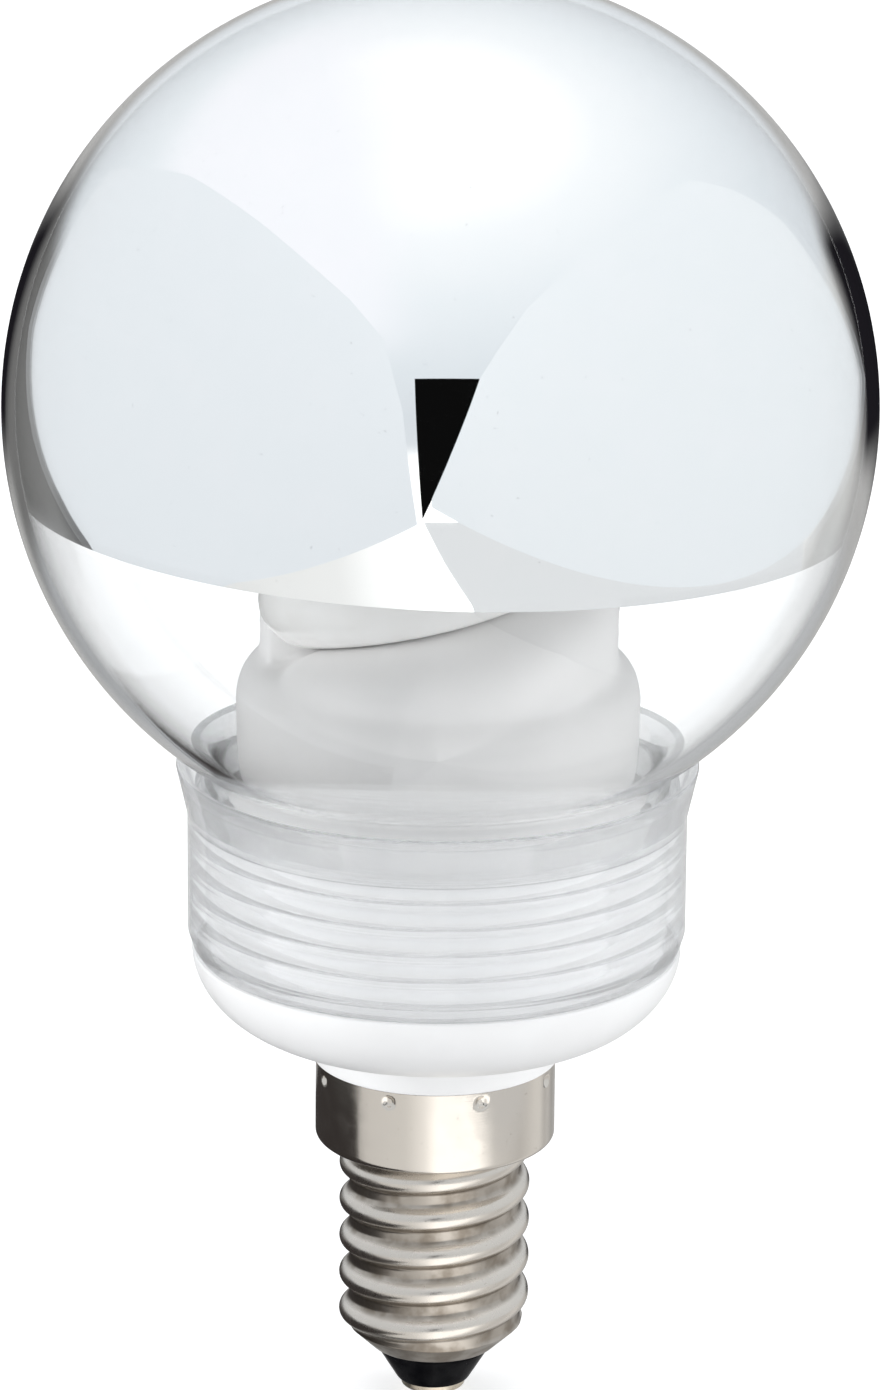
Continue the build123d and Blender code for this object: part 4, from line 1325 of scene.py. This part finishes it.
@dataclass
class ScrewCap:
    """The E14 cap: rolled nickel shell, black glass insulator, contact plate and solder.

    Attributes:
        skirt: Outer radius of the skirt.
        skirt_top: Height of its upper edge.
        skirt_foot: Height of its lower edge.
        wall: Thickness of the sheet.
        pitch: Pitch of the thread.
        crest: Radius of the thread's crests.
        roll: Radius of its rounding.
        crest_z: Height of a crest on the left, where the angle is 180 degrees.
        core: Radius of the shell under the thread.
        mouth: Radius of the shell's lower end.
        mouth_z: Height of that end.
        step_z: Height where the step up to the skirt starts.
        marks: Number of punch marks.
        mark: Radius of the punch.
        mark_depth: Depth of a mark.
        mark_drop: How far the marks lie below the skirt's edge.
        slope: Slope of the cone that leads in the thread.
        tip: Radius of the insulator at its tip.
        tip_z: Height of that tip.
        glass_top: Height of the insulator's upper end.
        wire_hole: Radius of the hole for the wire.
        plate: Radius of the contact plate.
        plate_z: Height of its lower face.
        drop: Radius of the solder drop.
    """

    skirt: float = 8.56
    skirt_top: float = 26.0
    skirt_foot: float = 20.1
    wall: float = 0.25
    pitch: float = 2.822
    crest: float = 6.83
    roll: float = 0.822
    crest_z: float = 15.0
    core: float = 6.1
    mouth: float = 4.6
    mouth_z: float = 4.1
    step_z: float = 19.35
    marks: int = 8
    mark: float = 0.6
    mark_depth: float = 0.28
    mark_drop: float = 0.75
    slope: float = 0.95
    tip: float = 2.55
    tip_z: float = 1.2
    glass_top: float = 7.6
    wire_hole: float = 0.5
    plate: float = 2.3
    plate_z: float = 0.65
    drop: float = 1.35

    def shell_outline(self) -> tuple[list[Point], int]:
        """Section of the shell before its thread is rolled.

        Returns:
            The closed outline, and the number of its points on the outer face.
        """
        cone_z = self.mouth_z + (self.core - self.mouth) * self.slope
        outer = spaced(rounded([
            (self.mouth - 0.3, self.mouth_z, 0.0), (self.mouth, self.mouth_z, 0.0),
            (self.core, cone_z, 0.0), (self.core, self.step_z, 0.0),
            (self.skirt, self.skirt_foot, 0.45), (self.skirt, self.skirt_top - 0.02, 0.0),
            (self.skirt - 0.06, self.skirt_top, 0.0), (self.skirt - self.wall, self.skirt_top, 0.0),
        ]), 0.11)
        inner = [
            (self.skirt - self.wall, self.skirt_foot + self.wall),
            (self.core - self.wall, self.step_z + self.wall),
            (self.core - self.wall, cone_z + 0.1), (self.mouth - 0.45, self.mouth_z + 0.1),
        ]
        return outer + inner, len(outer)

    def build_shell(self) -> None:
        """Rolls the thread and the punch marks into the shell by geometry nodes."""
        outline, outer_count = self.shell_outline()
        mesh = turned_mesh("cap_shell_form", outline, THREAD_SIDES)
        shell = as_object("rolled_screw_shell", mesh)
        outer = mesh.attributes.new("outer_face", "FLOAT", "POINT")
        flags = np.zeros(len(mesh.vertices), np.float32)
        flags[: outer_count * THREAD_SIDES] = 1.0
        outer.data.foreach_set("value", flags)
        form = FormTree("rolled_thread")
        pitch = form.size("Thread pitch", self.pitch * MM)
        crest = form.size("Crest radius", self.crest * MM)
        roll = form.size("Rolling radius", self.roll * MM)
        crest_z = form.size("Crest height at 180 degrees", self.crest_z * MM)
        mouth = form.size("Mouth radius", self.mouth * MM)
        mouth_z = form.size("Mouth height", self.mouth_z * MM)
        end_z = form.size("Thread top", (self.step_z + 0.45) * MM)
        count = form.size("Punch marks", self.marks)
        mark = form.size("Punch radius", self.mark * MM)
        mark_r = form.size("Punch centre radius", (self.skirt + self.mark - self.mark_depth) * MM)
        mark_z = form.size("Punch height", (self.skirt_top - self.mark_drop) * MM)
        where = form.node("GeometryNodeInputPosition").outputs[0]
        x, y, z = form.node("ShaderNodeSeparateXYZ", {0: where}).outputs
        radius = form.root(form.sum("ADD", form.sum("MULTIPLY", x, x), form.sum("MULTIPLY", y, y)))
        angle = form.sum("ARCTAN2", y, x)
        turn = form.sum("DIVIDE", form.sum("SUBTRACT", angle, math.pi), 2 * math.pi)
        climb = form.sum("DIVIDE", form.sum("SUBTRACT", z, crest_z), pitch)
        off = form.sum("MULTIPLY", form.to_nearest(form.sum("SUBTRACT", climb, turn), True), pitch)
        squared = form.sum("MULTIPLY", roll, roll)
        crown = form.root(form.sum("SUBTRACT", squared, form.sum("MULTIPLY", off, off)))
        crown = form.sum("ADD", form.sum("SUBTRACT", crest, roll), crown)
        quarter = form.sum("MULTIPLY", pitch, 0.25)
        flank = form.root(form.sum("SUBTRACT", squared, form.sum("MULTIPLY", quarter, quarter)))
        root = form.sum("SUBTRACT", crest, form.sum("MULTIPLY", roll, 2.0))
        root = form.sum("ADD", root, form.sum("MULTIPLY", flank, 2.0))
        rest = form.sum("SUBTRACT", form.sum("MULTIPLY", pitch, 0.5), off)
        valley = form.root(form.sum("SUBTRACT", squared, form.sum("MULTIPLY", rest, rest)))
        valley = form.sum("SUBTRACT", root, form.sum("SUBTRACT", valley, roll))
        thread = form.choose(form.sum("LESS_THAN", off, quarter), valley, crown)
        cone = form.sum("DIVIDE", form.sum("SUBTRACT", z, mouth_z), self.slope)
        thread = form.sum("MINIMUM", thread, form.sum("ADD", mouth, cone))
        below = form.sum("LESS_THAN", z, end_z)
        threaded = form.sum("MULTIPLY", below, form.sum("GREATER_THAN", z, mouth_z))
        rolled = form.sum("MAXIMUM", radius, form.sum("MULTIPLY", thread, threaded))
        sector = form.sum("DIVIDE", form.sum("MULTIPLY", angle, count), 2 * math.pi)
        aside = form.to_nearest(form.sum("SUBTRACT", sector, 0.5), False)
        aside = form.sum("DIVIDE", form.sum("MULTIPLY", aside, 2 * math.pi), count)
        aside = form.sum("MULTIPLY", aside, rolled)
        above = form.sum("SUBTRACT", z, mark_z)
        reach = form.sum("MULTIPLY", above, above)
        reach = form.sum("ADD", form.sum("MULTIPLY", aside, aside), reach)
        ball = form.sum("SUBTRACT", form.sum("MULTIPLY", mark, mark), reach)
        dent = form.sum("MINIMUM", rolled, form.sum("SUBTRACT", mark_r, form.root(ball)))
        dented = form.choose(form.sum("GREATER_THAN", ball, 0.0), rolled, dent)
        outward = form.node(
            "GeometryNodeInputNamedAttribute", {"Name": "outer_face"}, data_type="FLOAT"
        ).outputs[0]
        factor = form.choose(outward, 1.0, form.sum("DIVIDE", dented, radius))
        place = {0: form.sum("MULTIPLY", x, factor), 1: form.sum("MULTIPLY", y, factor), 2: z}
        moved = form.node("ShaderNodeCombineXYZ", place).outputs[0]
        formed = form.node(
            "GeometryNodeSetPosition", {"Geometry": form.source.outputs[0], "Position": moved}
        )
        form.run(shell, formed.outputs[0], NickelFinish().material())
        shell.data.shade_smooth()
        shell.data.set_sharp_from_angle(angle=math.radians(60))
        settle(shell, "nickel_plate", "cap_shell")

    def build_insulator(self) -> None:
        """The black glass, with the contact plate and the solder below it."""
        mouth, seat = self.mouth - 0.5, self.core - self.wall - 0.06
        glass = rounded([
            (self.wire_hole, self.tip_z, 0.0), (self.tip, self.tip_z, 0.45),
            (mouth, self.mouth_z - 0.35, 0.5), (mouth, self.mouth_z + 0.05, 0.0),
            (seat, self.mouth_z + 1.6, 0.0), (seat, self.glass_top, 0.0),
            (self.wire_hole, self.glass_top, 0.0),
        ])
        glass_mesh = turned_mesh("glass_insulator", spaced(glass, 0.3), SMALL_SIDES)
        insulator = as_object("glass_insulator", glass_mesh, 50.0)
        dress(insulator, BLACK_GLASS.material())
        settle(insulator, "black_glass", "cap_insulator")
        plate = rounded([
            (self.wire_hole, self.plate_z, 0.0), (self.plate, self.plate_z, 0.25),
            (self.plate, self.tip_z, 0.0), (self.wire_hole, self.tip_z, 0.0),
        ])
        contact = as_object("contact_plate", turned_mesh("contact_plate", plate, SMALL_SIDES))
        dress(contact, CONTACT_PLATE.material())
        settle(contact, "nickel_plate", "centre_contact")
        ball = (self.drop**2 + self.plate_z**2) / (2 * self.plate_z)
        edge = math.degrees(math.acos(self.drop / ball))
        dome = [(0.0, 0.0)] + arc((0.0, ball), ball, -90.0, -edge, 10)[1:] + [(0.0, self.plate_z)]
        drop = as_object("solder_drop", turned_mesh("solder_drop", dome, DROP_SIDES))
        dress(drop, SOLDER.material())
        settle(drop, "solder", "contact_solder")

    def build(self) -> None:
        """Builds and dresses the whole cap."""
        self.build_shell()
        self.build_insulator()


# The studio


@dataclass(frozen=True)
class StudioCard:
    """A pale upright card that the mirror and the metal reflect, and the camera doesn't see.

    Attributes:
        name: Name of the card.
        side: Direction that it faces the lamp from, in degrees to the right of the camera.
        distance: Its distance from the lamp's axis, in millimetres.
        corners: Each corner's place along the card and its height, in millimetres.
        colour: Its colour.
        lift: How much brighter its upper part is.
        flat: Lies on the floor, with its corners given as places there.
    """

    name: str
    side: float
    distance: float
    corners: tuple[Point, ...]
    colour: Colour
    lift: float = 0.0
    flat: bool = False

    def place(self, corner: Point) -> Vector:
        """The point in metres where one corner stands.

        Args:
            corner: Its place along the card and its height.

        Returns:
            The point.
        """
        if self.flat:
            return Vector((*corner, 0.3)) * MM
        side = math.radians(self.side)
        out = Vector((math.sin(side), -math.cos(side), 0)) * self.distance
        along = Vector((math.cos(side), math.sin(side), 0)) * corner[0]
        return (out + along + Vector((0, 0, corner[1]))) * MM

    def build(self) -> None:
        """Builds the card."""
        mesh = bpy.data.meshes.new(self.name)
        corners = [self.place(corner) for corner in self.corners]
        mesh.from_pydata(corners, [], [tuple(range(len(corners)))])
        card = bpy.data.objects.new(self.name, mesh)
        bpy.context.scene.collection.objects.link(card)
        recipe = Recipe(self.name)
        height = recipe.node("ShaderNodeSeparateXYZ", {0: recipe.place}).outputs[2]
        glow = recipe.ramp(height, 0.0, 0.2, 1.0, 1.0 + self.lift, smooth=False)
        light = recipe.node("ShaderNodeEmission", {"Color": (*self.colour, 1.0), "Strength": glow})
        card.data.materials.append(recipe.done(Studio.mirrored_only(recipe, light.outputs[0])))
        card.visible_camera = card.visible_diffuse = card.visible_shadow = False


@dataclass
class SoftDome(Wiring):
    """The world: a soft white dome over a table, with a dark band behind the lamp.

    Directions are unit vectors, with x to the right of the camera, y away from it and z up.

    Attributes:
        ambient: Level of the dome where it only lights the lamp.
        sky: Colour of the dome by height, from 0 straight down to 1 overhead.
        tilt: How far the bright spot overhead leans to the right and to the back.
        left: Colour of the dome's upper left.
        table: How bright the table is in each direction, in degrees to the right of the camera.
        warmth: Share of red, green and blue in the table's light.
        seam: Heights between which the table gives way to the dome.
        corner: How far left and how high the dome's upper left starts and is full.
        band: Colour of the dark band.
        band_depth: How far back the band starts and is full.
        band_foot: Heights where its lower edge starts and ends.
        band_top: Heights where its upper edge starts and ends.
        wall: Colour that clear walls show where they bend the view down to the table.
        one_wall: Heights where that starts and is full, seen through the near wall alone.
        two_walls: The same, seen through any number of walls.
    """

    ambient: float = 0.75
    sky: tuple[tuple[float, Colour], ...] = (
        (0.0, (0.9, 0.91, 0.92)), (0.56, (0.74, 0.775, 0.81)), (0.66, (0.80, 0.84, 0.875)),
        (0.80, (0.90, 0.935, 0.965)), (0.90, (1.0, 1.02, 1.04)), (0.95, (1.12, 1.12, 1.12)),
    )
    tilt: Point = (-0.09, 0.1)
    left: Colour = (1.0, 1.0, 1.04)
    table: tuple[Point, ...] = (
        (-180, 0.6), (-165, 0.5), (-156, 0.16), (-128, 0.24), (-118, 0.08), (-86, 0.08),
        (-76, 0.78), (-64, 0.86), (-28, 0.92), (-10, 1.25), (2, 1.8), (44, 1.8), (60, 0.9),
        (90, 0.7), (112, 0.9), (122, 0.9), (131, 0.6), (139, 0.7), (150, 0.45), (165, 0.5),
        (180, 0.6),
    )
    warmth: Colour = (1.0, 0.995, 0.98)
    seam: Point = (-0.02, 0.1)
    corner: tuple[Point, Point] = ((-0.4, 0.0), (0.4, 0.62))
    band: Colour = (0.012, 0.011, 0.014)
    band_depth: Point = (0.845, 0.89)
    band_foot: Point = (-0.31, -0.25)
    band_top: Point = (0.0, 0.09)
    wall: Colour = (0.52, 0.535, 0.55)
    one_wall: Point = (-0.33, -0.42)
    two_walls: Point = (-0.66, -0.72)

    def product(self, *terms: Any) -> bpy.types.NodeSocket:
        """Multiplies any number of terms."""
        result = terms[0]
        for term in terms[1:]:
            result = self.sum("MULTIPLY", result, term)
        return result

    def lookup(
        self, value: bpy.types.NodeSocket, stops: Sequence[tuple[float, Colour]]
    ) -> bpy.types.NodeSocket:
        """Looks a value up in a row of colours.

        Args:
            value: The value, from 0 to 1.
            stops: Place and colour of each stop.

        Returns:
            The colour.
        """
        made = self.node("ShaderNodeValToRGB", {0: value})
        row = made.color_ramp.elements
        row[0].position, row[1].position = stops[0][0], stops[-1][0]
        for position, _ in stops[1:-1]:
            row.new(position)
        for element, (_, colour) in zip(row, stops):
            element.color = (*colour, 1.0)
        return made.outputs[0]

    def above(
        self, x: bpy.types.NodeSocket, y: bpy.types.NodeSocket, z: bpy.types.NodeSocket
    ) -> bpy.types.NodeSocket:
        """Colour of the dome, brightest overhead and at its upper left."""
        height = self.sum("MULTIPLY_ADD", y, self.tilt[1], self.sum("MULTIPLY", z, 0.99))
        height = self.sum("MULTIPLY_ADD", x, self.tilt[0], height)
        dome = self.lookup(self.sum("MULTIPLY_ADD", height, 0.5, 0.5), self.sky)
        aside, high = self.corner
        left = self.product(self.ramp(x, *aside, 1.0, 0.0), self.ramp(z, *high), 0.9)
        return self.mix(left, dome, self.left)

    def below(self, x: bpy.types.NodeSocket, y: bpy.types.NodeSocket) -> bpy.types.NodeSocket:
        """Colour of the table, by its direction from the lamp."""
        turn = self.sum("ARCTAN2", x, self.sum("MULTIPLY", y, -1.0))
        stops = [
            (0.5 + angle / 360, tuple(light * share for share in self.warmth))
            for angle, light in self.table
        ]
        return self.lookup(self.sum("MULTIPLY_ADD", turn, 0.5 / math.pi, 0.5), stops)

    def behind(
        self, x: bpy.types.NodeSocket, y: bpy.types.NodeSocket, z: bpy.types.NodeSocket
    ) -> bpy.types.NodeSocket:
        """Share of the dark band, which only the crown's left and right rims mirror."""
        across = self.ramp(self.sum("MULTIPLY_ADD", x, 0.1, y), *self.band_depth)
        beside = self.sum("MULTIPLY_ADD", self.sum("ABSOLUTE", x), -0.55, self.sum("ADD", z, 0.29))
        lower, upper = self.ramp(z, *self.band_foot), self.ramp(z, *self.band_top, 1.0, 0.0)
        return self.product(across, lower, upper, self.ramp(beside, 0.0, 0.08, 1.0, 0.0))

    def through_walls(
        self, z: bpy.types.NodeSocket, walls: bpy.types.NodeSocket
    ) -> bpy.types.NodeSocket:
        """Share of the grey that clear walls show.

        Args:
            z: Height of the direction.
            walls: How many clear surfaces the view has passed.

        Returns:
            The share.
        """
        near = self.product(self.sum("LESS_THAN", walls, 2.5), self.ramp(z, *self.one_wall))
        either = self.sum("MAXIMUM", near, self.ramp(z, *self.two_walls))
        return self.product(either, self.sum("GREATER_THAN", walls, 0.5))

    def build(self) -> None:
        """Makes the dome the scene's world."""
        world = bpy.data.worlds.new("soft_dome")
        bpy.context.scene.world = world
        world.use_nodes = True
        self.tree = world.node_tree
        self.tree.nodes.clear()
        way = self.node("ShaderNodeTexCoord").outputs["Generated"]
        x, y, z = self.node("ShaderNodeSeparateXYZ", {0: way}).outputs
        path = self.node("ShaderNodeLightPath").outputs
        low = self.ramp(z, *self.seam, 1.0, 0.0)
        room = self.mix(low, self.above(x, y, z), self.below(x, y))
        room = self.mix(self.behind(x, y, z), room, self.band)
        room = self.mix(self.through_walls(z, path["Transmission Depth"]), room, self.wall)
        first = [
            self.sum("LESS_THAN", path[kind], 0.5) for kind in ("Glossy Depth", "Diffuse Depth")
        ]
        straight = self.product(path["Is Transmission Ray"], *first)
        open_view = self.sum("MAXIMUM", path["Is Camera Ray"], straight)
        mirrored = self.sum("GREATER_THAN", path["Glossy Depth"], 0.5)
        seen = self.sum("MAXIMUM", open_view, mirrored)
        level = self.ramp(seen, 0.0, 1.0, self.ambient, 1.0, smooth=False)
        colour = self.mix(open_view, room, (1.0, 1.0, 1.0))
        light = self.node("ShaderNodeBackground", {"Color": colour, "Strength": level})
        end = self.node("ShaderNodeOutputWorld")
        self.tree.links.new(light.outputs[0], end.inputs["Surface"])


@dataclass
class Studio:
    """Camera, floor, cards and soft light.

    Attributes:
        eye: Where the camera stands, in millimetres.
        aim: Where it looks.
        lens: Focal length for a 36 mm sensor.
        roll: Lean of the camera in degrees.
        floor: Radius of the floor in metres.
        glow: How much the floor shines by itself where it is seen directly.
        lamps: Name, size in metres, power in watts and place in metres of each soft lamp.
        target: The point in metres that the lamps face.
        cards: The cards that the mirror shows.
    """

    eye: Place = (0.16, -450.0, 192.8)
    aim: Place = (0.16, 0.0, 52.83)
    lens: float = 173.755
    roll: float = 0.45
    floor: float = 3.0
    glow: float = 0.5
    lamps: tuple[tuple[str, float, float, Place], ...] = (
        ("overhead_lamp", 0.7, 1.6, (-0.15, -0.35, 0.95)),
        ("left_lamp", 0.5, 4.6, (-0.85, -0.16, 0.14)),
        ("right_lamp", 0.5, 4.6, (0.85, -0.16, 0.14)),
        ("front_lamp", 0.5, 1.6, (-0.2, -0.85, 0.14)),
    )
    target: Place = (0.0, 0.0, 0.05)
    cards: tuple[StudioCard, ...] = (
        StudioCard("left_card", -69.5, 125.0, (
            (257, 0), (217, 135), (170, 198), (110, 208), (0, 208), (-102, 204), (-203, 187),
            (-367, 173), (-313, 97), (-308, 53), (-209, 32), (-120, 14), (-80, 0),
        ), (0.815, 0.845, 0.875), 0.08),
        StudioCard("right_card", 70.0, 125.0, (
            (-383, 0), (-383, 16), (-260, 126), (-214, 172), (-176, 188), (-122, 206), (-43, 211),
            (30, 211), (96, 205), (141, 175), (186, 143), (220, 103), (282, 67), (418, 3), (418, 0),
        ), (0.855, 0.885, 0.91), 0.08),
        StudioCard("camera_opening", 0.0, 600.0, (
            (-74, 317), (115, 319), (-19, -15), (-45, -74),
        ), (0.004, 0.004, 0.004)),
        StudioCard("right_sheet", 0.0, 0.0, (
            (-20, -297), (4, -172), (18, -108), (34, -82), (44, -66), (56, -30), (75, 10),
            (120, 60), (200, 60), (200, -300),
        ), (0.79, 0.80, 0.81), flat=True),
        # Painted shadow: a dark sheet on the table, left of and behind the lamp, stands in for
        # shade there, which the cap and the crown mirror.
        StudioCard("painted_shadow_sheet", 0.0, 0.0, (
            (-70, -17), (-9, -17), (-9, 60), (-70, 60),
        ), (0.05, 0.045, 0.044), flat=True),
    )

    @staticmethod
    def mirrored_only(recipe: Recipe, shader: bpy.types.NodeSocket) -> bpy.types.NodeSocket:
        """Lets a card show only in what reflects it, and not straight through clear glass.

        Args:
            recipe: The material being made.
            shader: Its shader.

        Returns:
            The shader, mixed with clear air.
        """
        air = recipe.node("ShaderNodeBsdfTransparent").outputs[0]
        path = recipe.node("ShaderNodeLightPath").outputs
        mirrored = recipe.sum("GREATER_THAN", path["Glossy Depth"], 0.5)
        return recipe.node("ShaderNodeMixShader", {0: mirrored, 1: air, 2: shader}).outputs[0]

    def build_camera(self) -> None:
        """Stands the camera at the photograph's place."""
        data = bpy.data.cameras.new("studio_camera")
        data.lens, data.sensor_width = self.lens, 36.0
        data.clip_start, data.clip_end = 0.01, 50.0
        camera = bpy.data.objects.new("studio_camera", data)
        bpy.context.scene.collection.objects.link(camera)
        eye, aim = Vector(self.eye) * MM, Vector(self.aim) * MM
        turn = (aim - eye).to_track_quat("-Z", "Y").to_matrix().to_4x4()
        lean = Matrix.Rotation(math.radians(self.roll), 4, "Z")
        camera.matrix_world = Matrix.Translation(eye) @ turn @ lean
        bpy.context.scene.camera = camera

    def build_floor(self) -> None:
        """Lays the pale floor that the lamp stands on, which keeps its shadow."""
        recipe = Recipe("pale_floor")
        soft = recipe.ramp(recipe.noise(40.0, 2.0), 0.3, 0.7)
        paint = recipe.mix(soft, (0.80, 0.80, 0.80), (0.78, 0.78, 0.78))
        matt = recipe.node("ShaderNodeBsdfDiffuse", {"Color": paint}).outputs[0]
        glow = recipe.node("ShaderNodeEmission", {"Strength": self.glow}).outputs[0]
        both = recipe.node("ShaderNodeAddShader", {0: matt, 1: glow}).outputs[0]
        path = recipe.node("ShaderNodeLightPath").outputs
        bounces = recipe.sum("ADD", path["Glossy Depth"], path["Diffuse Depth"])
        direct = recipe.sum("LESS_THAN", bounces, 0.5)
        lit = recipe.node("ShaderNodeMixShader", {0: direct, 1: matt, 2: both}).outputs[0]
        mirrored = recipe.sum("GREATER_THAN", path["Glossy Depth"], 0.5)
        air = recipe.node("ShaderNodeBsdfTransparent").outputs[0]
        shader = recipe.node("ShaderNodeMixShader", {0: mirrored, 1: lit, 2: air})
        mesh = bpy.data.meshes.new("pale_floor")
        angles = [2 * math.pi * k / FLOOR_SIDES for k in range(FLOOR_SIDES)]
        rim = [(self.floor * math.cos(a), self.floor * math.sin(a), 0.0) for a in angles]
        mesh.from_pydata(rim, [], [tuple(range(FLOOR_SIDES))])
        mesh.materials.append(recipe.done(shader.outputs[0]))
        floor = bpy.data.objects.new("pale_floor", mesh)
        bpy.context.scene.collection.objects.link(floor)
        floor.visible_glossy = False

    def build_lamps(self) -> None:
        """Hangs one large soft lamp overhead and stands three round the bulb."""
        for name, size, power, spot in self.lamps:
            data = bpy.data.lights.new(name, "AREA")
            data.shape, data.size, data.energy = "DISK", size, power
            lamp = bpy.data.objects.new(name, data)
            bpy.context.scene.collection.objects.link(lamp)
            place, aim = Vector(spot), Vector(self.target)
            turn = (aim - place).to_track_quat("-Z", "Y").to_matrix().to_4x4()
            lamp.matrix_world = Matrix.Translation(place) @ turn
            lamp.visible_camera = lamp.visible_glossy = lamp.visible_transmission = False

    def build(self) -> None:
        """Sets up the whole studio."""
        self.build_camera()
        self.build_floor()
        SoftDome().build()
        self.build_lamps()
        for card in self.cards:
            card.build()
        bpy.context.scene.view_settings.view_transform = "Standard"


def main() -> None:
    """Builds the lamp in its studio and logs each step."""
    logging.basicConfig(level=logging.INFO, format="%(message)s")
    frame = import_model()
    nodes = frame["nodes"]
    steps: list[tuple[str, Callable[[], None]]] = [
        ("globe", SilveredGlobe().build),
        ("collar", ClearCollar().build),
        ("housing", lambda: WhiteHousing().build(nodes)),
        ("tube", SpiralTube().build),
        ("cap", ScrewCap().build),
    ]
    for name, build in steps:
        LOG.info("building the %s", name)
        build()
    for name, finish in BALLAST_FINISHES.items():
        dress(nodes[name], finish.material())
    LOG.info("dressed %d pieces of the ballast", len(BALLAST_FINISHES))
    Studio().build()


if __name__ == "__main__":
    main()
